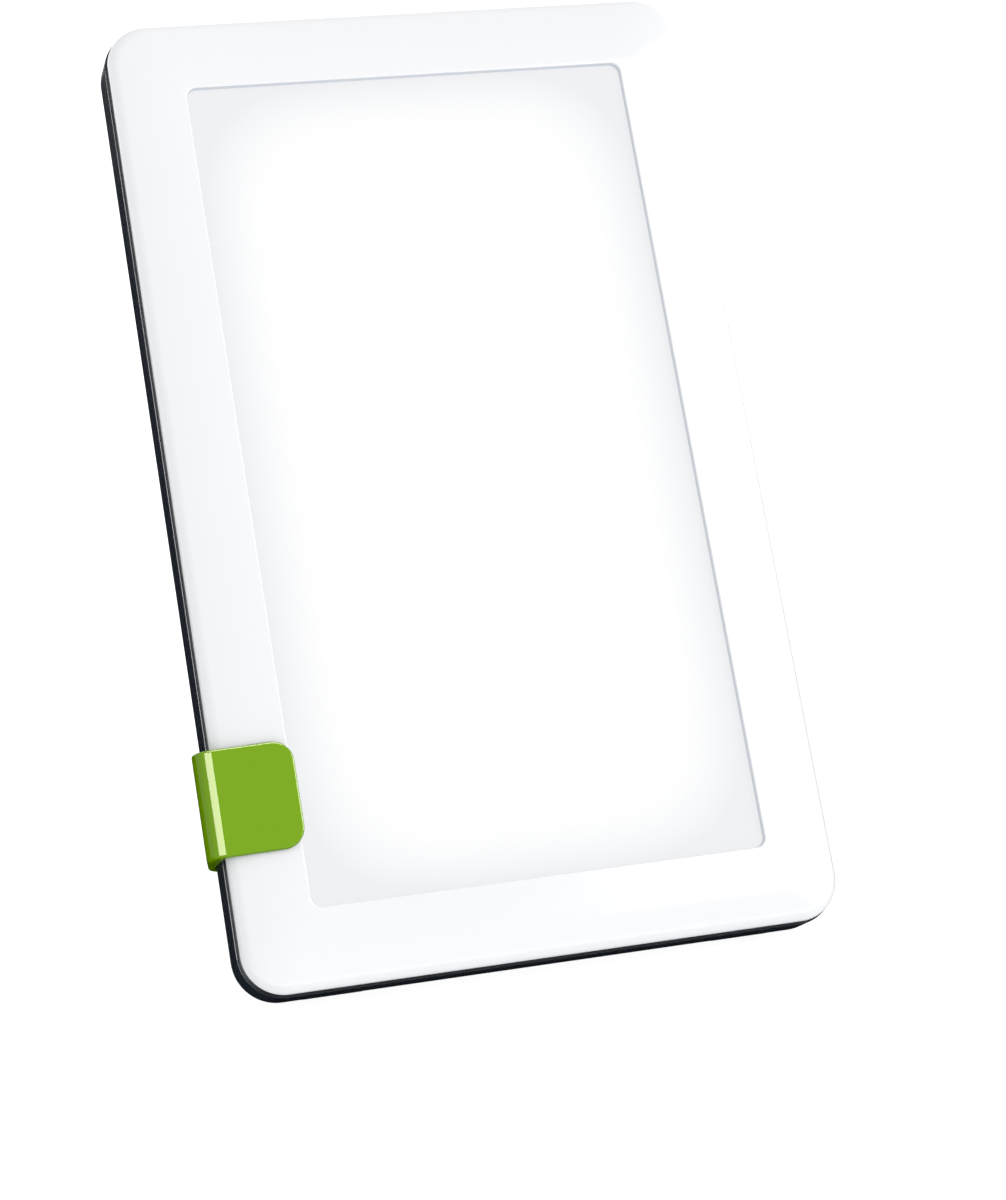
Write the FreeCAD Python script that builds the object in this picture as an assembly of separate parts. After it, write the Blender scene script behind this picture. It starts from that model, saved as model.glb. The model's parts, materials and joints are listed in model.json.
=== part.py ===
"""Light therapy lamp: a slim edge-lit panel that leans back on a clip-on stand.

Every piece is first built in the panel's own frame, in millimetres:
X to the right as seen from the front, Y from the front towards the back,
Z up along the panel, with Y = 0 in the seam between bezel and back shell.
The whole lamp is then leaned back and set down, so that in the files
+Z is up, the lit face looks along -Y and the origin is on the table.
"""

import FreeCAD, Part
import math
import os
from FreeCAD import Vector

# ---------------------------------------------------------------- posture
LEAN = 30.0                  # degrees that the panel leans back from upright

# ---------------------------------------------------------------- bezel
BEZEL_W = 144.1
BEZEL_H = 236.3
BEZEL_CORNER_R = 10.0
OPENING_W = 109.8
OPENING_H = 200.0
OPENING_CORNER_R = 2.5
OPENING_DRAFT = 0.15         # the opening widens this much from screen to lip
BEZEL_RISE = 6.1             # lip's front plane ahead of the seam
EDGE_WALL = 1.2              # upright stretch of the bezel's rim
EDGE_R = 3.2                 # rounding between the rim and the crowned face
BEZEL_WALL = 1.8
LIP_T = 1.3                  # thickness of the lip over the screen's edge
LIP_BEVEL = 0.3              # broken front edge of the opening

# ---------------------------------------------------------------- back shell
BODY_DEPTH = 20.0            # lip's front plane to the back of the shell
SHELL_PROUD = 0.45           # shell stands out past the bezel all round
SHELL_WALL = 1.8
SHELL_EDGE_R = 4.5           # rounding of the rear edge
SEAM_GAP = 0.5               # shadow gap between bezel and shell
SEAM_INSET = 0.5             # seal set back from the bezel's rim
RIM_DEPTH = 2.2              # thickened rim that carries the lip
LIP_SHORT = 0.1              # shell's lip ends this far below the bezel's rounding
LIP_GAP = 0.15
LIP_WALL = 1.1
RIB_T = 1.2
RIB_RISE = 2.2
RIB_COLUMNS = 3
RIB_COLUMN_PITCH = 36.0
RIB_ROWS = 4
RIB_ROW_PITCH = 40.0

# ---------------------------------------------------------------- closing screws
SCREW_FROM_END = 20.0        # from the bezel's upper and lower edges
SCREW_R = 1.2
SCREW_HEAD_R = 2.4
SCREW_HEAD_T = 1.6
SCREW_FIT = 0.05             # shank in the bezel's post
SCREW_PLAY = 0.2             # shank in the shell's boss
HEAD_PLAY = 0.3              # head in its counterbore
SCREW_SEAT_Y = 6.0
SCREW_BITE = 2.9             # length of shank in the bezel's post
PILOT_OVER = 0.2             # pilot hole past a screw's tip
BOSS_WALL = 1.7
POST_WALL = 1.6
POST_GAP = 0.1               # between a bezel post and the boss under it

# ---------------------------------------------------------------- light stack
GASKET_T = 0.3
GASKET_W = 2.4
SCREEN_MARGIN = 3.0          # screen past the opening, each side
SCREEN_T = 2.0
FILM_T = 0.3
FILM_INSET = 0.4             # film inside the screen's edge
GUIDE_T = 3.0
GUIDE_MARGIN_X = 0.4         # guide past the opening, each side
GUIDE_MARGIN_Z = 1.5
REFLECTOR_T = 0.3
TRAY_T = 0.8
LOCATING_RIB_T = 1.2
LOCATING_GAP = 0.15
STACK_GAP = 0.1
LED_GAP = 0.1
LED_DEPTH = 1.0
LED_W = 1.4
LED_LENGTH = 3.0
LED_COUNT = 24
LED_FROM_END = 5.7           # outermost light source from the guide's end
STRIP_T = 1.0
STRIP_TAIL_W = 6.0
STRIP_TAIL_UP = 7.5          # tail's middle above the guide's lower edge
NOTCH_PLAY_X = 0.2           # tail in the tray's notch
NOTCH_PLAY_Z = 0.5
EAR_W = 10.0
EAR_REACH = 9.0
EAR_SCREW_R = 0.95
EAR_HEAD_R = 1.9
EAR_HEAD_T = 1.2
EAR_BITE = 3.6
TRAY_POST_X = 32.0
TRAY_POST_FROM_END = 17.5
TRAY_POST_R = 2.5

# ---------------------------------------------------------------- control board
BOARD_FROM_STRIP = 4.4       # board's right edge inside the right light strip
BOARD_PAST_GUIDE = 2.65      # board's lower edge below the guide's
BOARD_W = 52.0
BOARD_H = 40.0
BOARD_T = 1.6
BOARD_LIFT = 2.5             # gap between the shell's back wall and the board
BOARD_INSET = 3.6            # screws inside the board's corners
PCB_SCREW_R = 0.9
PCB_HEAD_R = 1.8
PCB_HEAD_T = 1.1
PCB_SCREW_BITE = 1.8
PCB_BOSS_WALL = 1.5
CONNECTOR_L = 7.0
CONNECTOR_W = 4.6
CONNECTOR_T = 3.4
CHIP_PLACE = (24.0, 12.0)    # across and up from the board's lower left corner
CHIP_W = 6.0
CHIP_H = 5.2
CHIP_T = 1.6
CHIP_FOOT = 0.1              # body clear of the board
CHIP_LEGS = 4
CHIP_LEG_PITCH = 1.3
CHIP_LEG_W = 0.4
CHIP_LEG_T = 0.6
CHIP_SPAN = 7.2
COIL_PLACE = (37.0, 13.0)
COIL_R = 3.6
COIL_FLANGE = 9.2
COIL_T = 4.2
COIL_FLANGE_T = 0.8
CAN_PLACES = ((12.0, 10.0), (12.0, 18.0), (40.0, 25.0))
CAN_R = 3.0
CAN_T = 4.6

# ---------------------------------------------------------------- power inlet
JACK_UP = 26.0               # socket's axis above the board's lower edge
JACK_DROP = 1.1              # socket's axis ahead of its lead
JACK_RECESS_R = 4.2          # recess for the plug's collar
JACK_RECESS_DEPTH = 3.5
JACK_SLEEVE_WALL = 0.7
JACK_FLANGE_STEP = 0.6       # flange past the recess
JACK_FLANGE_T = 1.0
JACK_BODY_R = 4.0
JACK_L = 10.0
JACK_BORE_R = 3.0
JACK_BORE_DEPTH = 9.0
JACK_PIN_R = 1.0
JACK_PIN_BACK = 0.6          # pin's tip behind the socket's mouth
JACK_PIN_BEVEL = 0.35
JACK_ROOT_R = 1.4            # pin's root in the socket's floor

# ---------------------------------------------------------------- power button
BUTTON_FROM_SIDE = 34.0      # button's axis inside the bezel's side
BUTTON_FROM_TOP = 30.0
BUTTON_R = 6.0
BUTTON_GAP = 0.2
BUTTON_PROUD = 0.7
BUTTON_BEVEL = 0.4
BUTTON_DISH = 0.35
BUTTON_DISH_INSET = 1.2      # dish inside the cap's edge
BUTTON_TRAVEL = 0.6
BUTTON_FLANGE_STEP = 1.3     # flange past the cap
BUTTON_FLANGE_T = 0.9
BUTTON_FLANGE_GAP = 0.1
BUTTON_STEM_R = 2.2
COLLAR_GAP = 0.25
COLLAR_WALL = 1.2
COLLAR_RISE = 2.6
SWITCH_LIFT = 5.1            # rear face of the switch board to the shell's back wall
SWITCH_BOARD_W = 30.0
SWITCH_BOARD_H = 22.0
SWITCH_BOARD_T = 1.2
SWITCH_BOSS_X = 12.0
SWITCH_BOSS_Z = 8.0
SWITCH_SIZE = 6.0
SWITCH_T = 3.0
PLUNGER_R = 1.6
PLUNGER_GAP = 0.1
PLUNGER_DEPTH = 1.4
PLUNGER_RISE = 0.6

# ---------------------------------------------------------------- leads
LEAD_W = 2.8                 # flat twin lead
LEAD_T = 1.2
LEAD_SWAY = 4.0              # sideways step of a lead on its way
SWITCH_LEAD_IN = 3.0         # lead beside the button's axis

# ---------------------------------------------------------------- foot pads
PAD_FROM_SIDE = 22.5         # pad's middle inside the shell's side
PAD_L = 16.0
PAD_W = 3.4
PAD_BACK = 1.1               # pad's middle behind the lowest line of the rear edge
PAD_SINK = 1.1
PAD_PROUD = 0.35
PAD_FIT = 0.1                # pocket past a pad, each side

# ---------------------------------------------------------------- stand
CLIP_H = 25.0
CLIP_UP = 32.0               # clip's lower edge above the bezel's lower edge
CLIP_GAP = 0.3
CLIP_WALL = 1.6
CLIP_PAST_LIP = 0.85         # tongue's tip past the opening's edge
CLIP_TONGUE_R = 5.0
CLIP_FRONT_R = 4.4           # rounding between the tongue and the web
CLIP_BULGE = 2.0             # web's front past its rear, sideways
JAW_REACH = 39.0             # rear jaw's reach in from the bezel's side
JAW_T = 2.4
JAW_RAMP = 2.5               # over which the jaw thickens behind its bend
JAW_CORNER_R = 5.0
GRIP_POCKET = 0.5
GRIP_T = 0.65
GRIP_INSET = 3.0
LEG_LEFT = (3.0, 10.0, 25.0)         # left edge in from the bezel's side, at root, middle and toe
LEG_RIGHT = (38.0, 46.0, 75.0)       # right edge, in the same way
LEG_MIDDLE = 44.0            # the middle's distance behind the shell
LEG_REACH = 90.0             # the toe's distance behind the shell
LEG_ROOT = 1.0               # leg's root inside the jaw
LEG_INSET = 2.0              # leg inside the jaw's upper and lower edges
LEG_ARCH = 12.0              # leg's height under its middle
LEG_CROWN = 1.6
LEG_TOE_H = 4.6
LEG_TOE_R = 7.0
LEG_SKIN = 2.2
LEG_HOLLOW_FROM = 3.5        # hollow's start behind the leg's root
LEG_EDGE = 1.2               # broken upper edge of the leg
LEG_WEBS = (26.0, 54.0)      # webs under the leg, behind the shell
LEG_WEB_T = 1.6
SOLE_REACH = 17.0            # depth of the foot's flat
SOLE_T = 1.8
SOLE_SINK = 0.8
SOLE_INSET = 2.4
SPAN = 400.0                 # longer than the lamp, for cutting forms

# ---------------------------------------------------------------- worked out
SEAM = SEAM_GAP / 2
LIP_RISE = EDGE_WALL - LIP_SHORT
LIP_INSET = BEZEL_WALL + LIP_GAP
BACK_Y = BODY_DEPTH - BEZEL_RISE
INNER_BACK_Y = BACK_Y - SHELL_WALL
SHELL_HX = BEZEL_W / 2 + SHELL_PROUD
SHELL_HZ = BEZEL_H / 2 + SHELL_PROUD
SHELL_CORNER_R = BEZEL_CORNER_R + SHELL_PROUD
FACE_W = (BEZEL_W - OPENING_W) / 2
FACE_H = (BEZEL_H - OPENING_H) / 2
CROWN_REACH = FACE_W - EDGE_R
CROWN_LIFT = BEZEL_RISE - EDGE_WALL
CROWN_R = (CROWN_REACH**2 + CROWN_LIFT**2 - EDGE_R**2) / (2 * (CROWN_LIFT - EDGE_R))
CROWN_SLOPE = math.asin(CROWN_REACH / (CROWN_R - EDGE_R))    # where it meets the rounding
SCREEN_HX = OPENING_W / 2 + SCREEN_MARGIN
SCREEN_HZ = OPENING_H / 2 + SCREEN_MARGIN
POCKET_Y = LIP_T - BEZEL_RISE
SCREEN_Y = POCKET_Y + GASKET_T
PRISM_Y = SCREEN_Y + SCREEN_T
DIFFUSER_Y = PRISM_Y + FILM_T
GUIDE_Y = DIFFUSER_Y + FILM_T
REFLECTOR_Y = GUIDE_Y + GUIDE_T
TRAY_Y = REFLECTOR_Y + REFLECTOR_T
TRAY_BACK_Y = TRAY_Y + TRAY_T
GUIDE_HX = OPENING_W / 2 + GUIDE_MARGIN_X
GUIDE_HZ = OPENING_H / 2 + GUIDE_MARGIN_Z
LED_X = GUIDE_HX + LED_GAP
LED_PITCH = (2 * GUIDE_HZ - 2 * LED_FROM_END - LED_LENGTH) / (LED_COUNT - 1)
STRIP_X = LED_X + LED_DEPTH
STRIP_TAIL_Z = STRIP_TAIL_UP - GUIDE_HZ
TRAY_X = STRIP_X + STRIP_T + TRAY_T
TRAY_Z = GUIDE_HZ + STACK_GAP + TRAY_T
EAR_Z = TRAY_Z + EAR_REACH - EAR_W / 2
SCREW_X = (SCREEN_HX + LOCATING_GAP + LOCATING_RIB_T + BEZEL_W / 2 - BEZEL_WALL) / 2
SCREW_Z = BEZEL_H / 2 - SCREW_FROM_END
COUNTERBORE_R = SCREW_HEAD_R + HEAD_PLAY
PCB_BOSS_R = PCB_SCREW_R + PCB_BOSS_WALL
BOARD_REAR_Y = INNER_BACK_Y - BOARD_LIFT
BOARD_FRONT_Y = BOARD_REAR_Y - BOARD_T
BOARD_X0 = STRIP_X - BOARD_FROM_STRIP - BOARD_W
BOARD_Z0 = -GUIDE_HZ - BOARD_PAST_GUIDE
CONNECTOR_Y = BOARD_FRONT_Y - CONNECTOR_T / 2
JACK_Y = CONNECTOR_Y - JACK_DROP
JACK_Z = BOARD_Z0 + JACK_UP
JACK_MOUTH_X = SHELL_HX - JACK_RECESS_DEPTH
BUTTON_X = BEZEL_W / 2 - BUTTON_FROM_SIDE
BUTTON_Z = BEZEL_H / 2 - BUTTON_FROM_TOP
BUTTON_FLANGE_R = BUTTON_R + BUTTON_FLANGE_STEP
SWITCH_BOARD_Y = INNER_BACK_Y - SWITCH_LIFT
SWITCH_TOP = SWITCH_BOARD_Y + SWITCH_T
SWITCH_LEAD_X = BUTTON_X - SWITCH_LEAD_IN
PAD_X = SHELL_HX - PAD_FROM_SIDE
CLIP_LOW = CLIP_UP - BEZEL_H / 2
CLIP_HIGH = CLIP_LOW + CLIP_H
CLIP_TIP = CLIP_PAST_LIP - OPENING_W / 2
JAW_TIP = JAW_REACH - BEZEL_W / 2
JAW_FRONT_Y = BACK_Y + CLIP_GAP
JAW_BACK_Y = JAW_FRONT_Y + JAW_T
LEG_TOE_Y = BACK_Y + LEG_REACH
LEG_HEEL_Y = LEG_TOE_Y - SOLE_REACH
DIAGONAL = math.sqrt(0.5)
COS_LEAN = math.cos(math.radians(LEAN))
SIN_LEAN = math.sin(math.radians(LEAN))
ALONG_Y = Vector(0, 1, 0)
DOWN = Vector(0, SIN_LEAN, -COS_LEAN)      # straight down, in the panel's frame
LEVEL = Vector(0, COS_LEAN, SIN_LEAN)      # level and rearwards
FOOT_ARC = Vector(0, BACK_Y - SHELL_EDGE_R, SHELL_EDGE_R - SHELL_HZ)
TABLE_DROP = SHELL_EDGE_R + PAD_PROUD      # table below the rear edge's arc


# ---------------------------------------------------------------- helpers
def outline(half_x, half_z, radius, y):
    """Wire of a rounded rectangle about the Y axis, in the plane Y = y."""
    edges = []
    quarter = radius * DIAGONAL
    corners = ((1, 1), (-1, 1), (-1, -1), (1, -1))
    for number, (sx, sz) in enumerate(corners):
        cx = sx * (half_x - radius)
        cz = sz * (half_z - radius)
        side = Vector(cx + sx * radius, y, cz)
        end = Vector(cx, y, cz + sz * radius)
        middle = Vector(cx + sx * quarter, y, cz + sz * quarter)
        first, last = (side, end) if sx * sz > 0 else (end, side)
        edges.append(Part.Arc(first, middle, last).toShape())
        nx, nz = corners[(number + 1) % 4]
        if sx * sz > 0:
            start = Vector(nx * (half_x - radius), y, nz * half_z)
        else:
            start = Vector(nx * half_x, y, nz * (half_z - radius))
        edges.append(Part.LineSegment(last, start).toShape())
    return Part.Wire(edges)


def slab(half_x, half_z, radius, y_front, y_back):
    """Plate with rounded corners between two planes of constant Y."""
    face = Part.Face(outline(half_x, half_z, radius, y_front))
    return face.extrude(Vector(0, y_back - y_front, 0))


def ring(half_x, half_z, radius, width, y_front, y_back):
    """Frame of constant width inside a rounded rectangle."""
    outer = slab(half_x, half_z, radius, y_front, y_back)
    return outer.cut(slab(half_x - width, half_z - width, radius - width, y_front, y_back))


def block(x0, x1, y0, y1, z0, z1):
    """Plain box between its low and high planes."""
    return Part.makeBox(x1 - x0, y1 - y0, z1 - z0, Vector(x0, y0, z0))


def plate(half_x, half_z, y_front, y_back):
    """Plate with square corners about the panel's middle."""
    return block(-half_x, half_x, y_front, y_back, -half_z, half_z)


def rod(radius, x, z, y_front, y_back):
    """Round bar along Y."""
    return Part.makeCylinder(radius, y_back - y_front, Vector(x, y_front, z), ALONG_Y)


def rod_x(radius, x0, x1, y, z):
    """Round bar along X."""
    return Part.makeCylinder(radius, x1 - x0, Vector(x0, y, z), Vector(1, 0, 0))


def closed(points):
    """Face of a polygon; an item of two points is an arc's middle and end."""
    edges = []
    here = points[0]
    for item in list(points[1:]) + [points[0]]:
        if isinstance(item, tuple):
            edges.append(Part.Arc(here, item[0], item[1]).toShape())
            here = item[1]
        elif (item - here).Length > 1e-6:
            edges.append(Part.LineSegment(here, item).toShape())
            here = item
    return Part.Face(Part.Wire(edges))


def fuse(shapes):
    """One solid from several that overlap."""
    return shapes[0].multiFuse(shapes[1:]).removeSplitter()


# ---------------------------------------------------------------- bezel
def crown_point(along, offset=0.0):
    """Inset and height of the bezel's face: along is 0 at the rim, 1 where the rounding ends, 2 at the lip.

    The face is a rounding that leaves the rim upright and a flatter arc,
    tangent to it, that ends level at the lip. offset moves the point
    outwards, square to the face.
    """
    if along <= 1:
        turn = along * (math.pi / 2 - CROWN_SLOPE)
        reach = EDGE_R + offset
        return EDGE_R - reach * math.cos(turn), EDGE_WALL + reach * math.sin(turn)
    turn = (2 - along) * CROWN_SLOPE
    reach = CROWN_R + offset
    return FACE_W - reach * math.sin(turn), BEZEL_RISE - CROWN_R + reach * math.cos(turn)


def face_outline(inset, height):
    """Outline of the bezel's face at an inset from its rim."""
    share = inset / FACE_W
    half_x = BEZEL_W / 2 - inset
    half_z = BEZEL_H / 2 - share * FACE_H
    radius = BEZEL_CORNER_R + share * (OPENING_CORNER_R - BEZEL_CORNER_R)
    return outline(half_x, half_z, radius, -height)


def crowned_body():
    """The bezel's outer form, from the seam to the lip's plane, with no opening."""
    rim = slab(BEZEL_W / 2, BEZEL_H / 2, BEZEL_CORNER_R, -EDGE_WALL, -SEAM)
    rounding = [face_outline(*crown_point(step / 4)) for step in range(5)]
    crown = [face_outline(*crown_point(1 + step / 2)) for step in range(3)]
    return fuse([rim, Part.makeLoft(rounding, True), Part.makeLoft(crown, True)])


def cavity_rise():
    """Height of the cavity's ceiling: the wall's thickness under the end of the rounding."""
    return crown_point(1)[1] - BEZEL_WALL


def bezel_cavity():
    """Room behind the bezel's wall, stepped in where the rim's rounding starts."""
    wide = slab(
        BEZEL_W / 2 - BEZEL_WALL, BEZEL_H / 2 - BEZEL_WALL, BEZEL_CORNER_R - BEZEL_WALL, -EDGE_WALL, 0
    )
    deep = slab(
        BEZEL_W / 2 - EDGE_R, BEZEL_H / 2 - EDGE_R, BEZEL_CORNER_R - EDGE_R, -cavity_rise(), 0
    )
    return fuse([wide, deep])


def screw_places():
    """Places of the closing screws, near the four corners."""
    return [(side * SCREW_X, end * SCREW_Z) for side in (-1, 1) for end in (-1, 1)]


def front_bezel():
    """Crowned frame with a lip over the screen, a locating rib round it and screw posts."""
    pocket_x = SCREEN_HX + LOCATING_GAP
    pocket_z = SCREEN_HZ + LOCATING_GAP
    rib = plate(
        pocket_x + LOCATING_RIB_T, pocket_z + LOCATING_RIB_T, -BEZEL_RISE, GUIDE_Y - STACK_GAP
    )
    body = crowned_body().cut(bezel_cavity().cut(rib))
    body = body.cut(plate(pocket_x, pocket_z, POCKET_Y, 0))
    throat = outline(
        OPENING_W / 2 - OPENING_DRAFT, OPENING_H / 2 - OPENING_DRAFT, OPENING_CORNER_R, POCKET_Y
    )
    mouth = outline(OPENING_W / 2, OPENING_H / 2, OPENING_CORNER_R, -BEZEL_RISE - SEAM)
    edge = outline(OPENING_W / 2, OPENING_H / 2, OPENING_CORNER_R, LIP_BEVEL - BEZEL_RISE)
    spread = 2 * LIP_BEVEL
    beyond = outline(
        OPENING_W / 2 + spread, OPENING_H / 2 + spread, OPENING_CORNER_R, -BEZEL_RISE - LIP_BEVEL
    )
    body = body.cut(Part.makeLoft([throat, mouth], True, True))
    body = body.cut(Part.makeLoft([edge, beyond], True, True))
    root = -cavity_rise() - BEZEL_WALL / 2
    posts = []
    pilots = []
    for x, z in screw_places():
        posts.append(rod(SCREW_R + POST_WALL, x, z, root, -POST_GAP))
        pilots.append(rod(SCREW_R + SCREW_FIT, x, z, -POST_GAP - SCREW_BITE - PILOT_OVER, 0))
    for end in (-1, 1):
        z = end * EAR_Z
        posts.append(rod(EAR_SCREW_R + POST_WALL, 0, z, root, TRAY_Y))
        pilots.append(rod(EAR_SCREW_R + SCREW_FIT, 0, z, TRAY_Y - EAR_BITE - PILOT_OVER, TRAY_Y))
    return fuse([body] + posts).cut(Part.makeCompound(pilots))


def seam_ring():
    """Black seal that fills the shadow gap, set back from both faces."""
    return ring(
        BEZEL_W / 2 - SEAM_INSET,
        BEZEL_H / 2 - SEAM_INSET,
        BEZEL_CORNER_R - SEAM_INSET,
        BEZEL_WALL - SEAM_INSET - STACK_GAP,
        -SEAM,
        SEAM,
    )


# ---------------------------------------------------------------- light stack
def screen_gasket():
    """Foam frame between the lip and the screen."""
    frame = plate(SCREEN_HX, SCREEN_HZ, POCKET_Y, SCREEN_Y)
    return frame.cut(plate(SCREEN_HX - GASKET_W, SCREEN_HZ - GASKET_W, POCKET_Y, SCREEN_Y))


def light_screen():
    return plate(SCREEN_HX, SCREEN_HZ, SCREEN_Y, PRISM_Y)


def film(front):
    return plate(SCREEN_HX - FILM_INSET, SCREEN_HZ - FILM_INSET, front, front + FILM_T)


def light_guide_plate():
    return plate(GUIDE_HX, GUIDE_HZ, GUIDE_Y, REFLECTOR_Y)


def reflector_sheet():
    return plate(GUIDE_HX, GUIDE_HZ, REFLECTOR_Y, TRAY_Y)


def strip_tail(side):
    """Tail of a light strip, through the tray to its lead."""
    x0 = min(side * STRIP_X, side * (STRIP_X + STRIP_T))
    z0 = STRIP_TAIL_Z - STRIP_TAIL_W / 2
    return block(x0, x0 + STRIP_T, GUIDE_Y + STACK_GAP, CONNECTOR_Y + LEAD_T / 2, z0, z0 + STRIP_TAIL_W)


def led_strip(side):
    x0 = min(side * STRIP_X, side * (STRIP_X + STRIP_T))
    board = block(x0, x0 + STRIP_T, GUIDE_Y + STACK_GAP, TRAY_Y - STACK_GAP, -GUIDE_HZ, GUIDE_HZ)
    return fuse([board, strip_tail(side)])


def leds(side):
    """Row of light-emitting packages along one long edge of the guide."""
    packages = []
    x0 = min(side * LED_X, side * (LED_X + LED_DEPTH))
    y0 = GUIDE_Y + (GUIDE_T - LED_W) / 2
    for number in range(LED_COUNT):
        z0 = (number - (LED_COUNT - 1) / 2) * LED_PITCH - LED_LENGTH / 2
        packages.append(block(x0, x0 + LED_DEPTH, y0, y0 + LED_W, z0, z0 + LED_LENGTH))
    return Part.makeCompound(packages)


def heat_tray():
    """Folded aluminium tray that carries the light stack and spreads its heat."""
    tray = plate(TRAY_X, TRAY_Z, GUIDE_Y + STACK_GAP / 2, TRAY_BACK_Y)
    room = plate(TRAY_X - TRAY_T, TRAY_Z - TRAY_T, GUIDE_Y, TRAY_Y)
    ears = []
    cuts = []
    for end in (-1, 1):
        z0, z1 = sorted((end * (TRAY_Z - TRAY_T), end * EAR_Z))
        ears.append(block(-EAR_W / 2, EAR_W / 2, TRAY_Y, TRAY_BACK_Y, z0, z1))
        ears.append(rod(EAR_W / 2, 0, end * EAR_Z, TRAY_Y, TRAY_BACK_Y))
        cuts.append(rod(EAR_SCREW_R + SCREW_PLAY, 0, end * EAR_Z, TRAY_Y, TRAY_BACK_Y))
    for side in (-1, 1):
        tail = strip_tail(side).BoundBox
        cuts.append(
            block(
                tail.XMin - NOTCH_PLAY_X,
                tail.XMax + NOTCH_PLAY_X,
                TRAY_Y,
                TRAY_BACK_Y,
                tail.ZMin - NOTCH_PLAY_Z,
                tail.ZMax + NOTCH_PLAY_Z,
            )
        )
    return fuse([tray.cut(room)] + ears).cut(Part.makeCompound(cuts))


def screw(radius, head_r, head_t, place, seat, tip):
    """Screw driven along Y: its head bears at seat and its tip is at tip."""
    x, z = place
    shank = rod(radius, x, z, min(seat, tip), max(seat, tip))
    outside = seat + math.copysign(head_t, seat - tip)
    head = rod(head_r, x, z, min(seat, outside), max(seat, outside))
    return fuse([shank, head])


def tray_screws():
    places = [(0, -EAR_Z), (0, EAR_Z)]
    tip = TRAY_Y - EAR_BITE
    return Part.makeCompound(
        [screw(EAR_SCREW_R, EAR_HEAD_R, EAR_HEAD_T, place, TRAY_BACK_Y, tip) for place in places]
    )


# ---------------------------------------------------------------- control board
def board_screw_places():
    x0 = BOARD_X0 + BOARD_INSET
    x1 = BOARD_X0 + BOARD_W - BOARD_INSET
    z0 = BOARD_Z0 + BOARD_INSET
    z1 = BOARD_Z0 + BOARD_H - BOARD_INSET
    return [(x0, z1), (x1, z0)]


def switch_screw_places():
    return [
        (BUTTON_X - SWITCH_BOSS_X, BUTTON_Z + SWITCH_BOSS_Z),
        (BUTTON_X + SWITCH_BOSS_X, BUTTON_Z - SWITCH_BOSS_Z),
    ]


def board_plate(x0, x1, y_front, y_back, z0, z1, places):
    """Circuit board with its screw holes."""
    holes = [rod(PCB_SCREW_R + SCREW_PLAY, x, z, y_front, y_back) for x, z in places]
    return block(x0, x1, y_front, y_back, z0, z1).cut(Part.makeCompound(holes))


def control_board():
    return board_plate(
        BOARD_X0,
        BOARD_X0 + BOARD_W,
        BOARD_FRONT_Y,
        BOARD_REAR_Y,
        BOARD_Z0,
        BOARD_Z0 + BOARD_H,
        board_screw_places(),
    )


def board_screws():
    """Screws of the control board and of the switch board."""
    screws = []
    for places, rear, thickness in (
        (board_screw_places(), BOARD_REAR_Y, BOARD_T),
        (switch_screw_places(), SWITCH_BOARD_Y, SWITCH_BOARD_T),
    ):
        for place in places:
            seat = rear - thickness
            screws.append(screw(PCB_SCREW_R, PCB_HEAD_R, PCB_HEAD_T, place, seat, rear + PCB_SCREW_BITE))
    return Part.makeCompound(screws)


def on_board(place, width, height, low, high):
    """Block on the control board's front, between two heights above it."""
    x = BOARD_X0 + place[0]
    z = BOARD_Z0 + place[1]
    return block(
        x - width / 2,
        x + width / 2,
        BOARD_FRONT_Y - high,
        BOARD_FRONT_Y - low,
        z - height / 2,
        z + height / 2,
    )


def driver_chip():
    """Driver chip with a row of gull-wing legs on each side."""
    body = on_board(CHIP_PLACE, CHIP_W, CHIP_H, CHIP_FOOT, CHIP_T)
    legs = []
    for number in range(CHIP_LEGS):
        x = CHIP_PLACE[0] + (number - (CHIP_LEGS - 1) / 2) * CHIP_LEG_PITCH
        legs.append(on_board((x, CHIP_PLACE[1]), CHIP_LEG_W, CHIP_SPAN, 0, CHIP_LEG_T))
    return fuse([body] + legs)


def power_coil():
    """Wound coil between its two square flanges."""
    drum = rod(
        COIL_R, BOARD_X0 + COIL_PLACE[0], BOARD_Z0 + COIL_PLACE[1], BOARD_FRONT_Y - COIL_T, BOARD_FRONT_Y
    )
    lower = on_board(COIL_PLACE, COIL_FLANGE, COIL_FLANGE, 0, COIL_FLANGE_T)
    upper = on_board(COIL_PLACE, COIL_FLANGE, COIL_FLANGE, COIL_T - COIL_FLANGE_T, COIL_T)
    return fuse([drum, lower, upper])


def capacitors():
    cans = []
    for x, z in CAN_PLACES:
        cans.append(rod(CAN_R, BOARD_X0 + x, BOARD_Z0 + z, BOARD_FRONT_Y - CAN_T, BOARD_FRONT_Y))
    return Part.makeCompound(cans)


def lead_connectors():
    """Lead sockets: four on the control board, one on the rear of the switch board."""
    sockets = []
    y0 = BOARD_FRONT_Y - CONNECTOR_T
    right = BOARD_X0 + BOARD_W - CONNECTOR_L
    for x, middle in (
        (right, JACK_Z),
        (right, STRIP_TAIL_Z),
        (BOARD_X0, STRIP_TAIL_Z + LEAD_SWAY),
    ):
        z = middle - CONNECTOR_W / 2
        sockets.append(block(x, x + CONNECTOR_L, y0, BOARD_FRONT_Y, z, z + CONNECTOR_W))
    x = SWITCH_LEAD_X - CONNECTOR_W / 2
    top = BOARD_Z0 + BOARD_H
    sockets.append(block(x, x + CONNECTOR_W, y0, BOARD_FRONT_Y, top - CONNECTOR_L, top))
    x -= LEAD_SWAY
    low = BUTTON_Z - SWITCH_BOARD_H / 2
    y0 = SWITCH_BOARD_Y
    sockets.append(block(x, x + CONNECTOR_W, y0, y0 + CONNECTOR_T / 2, low, low + CONNECTOR_L / 2))
    return Part.makeCompound(sockets)


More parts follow.
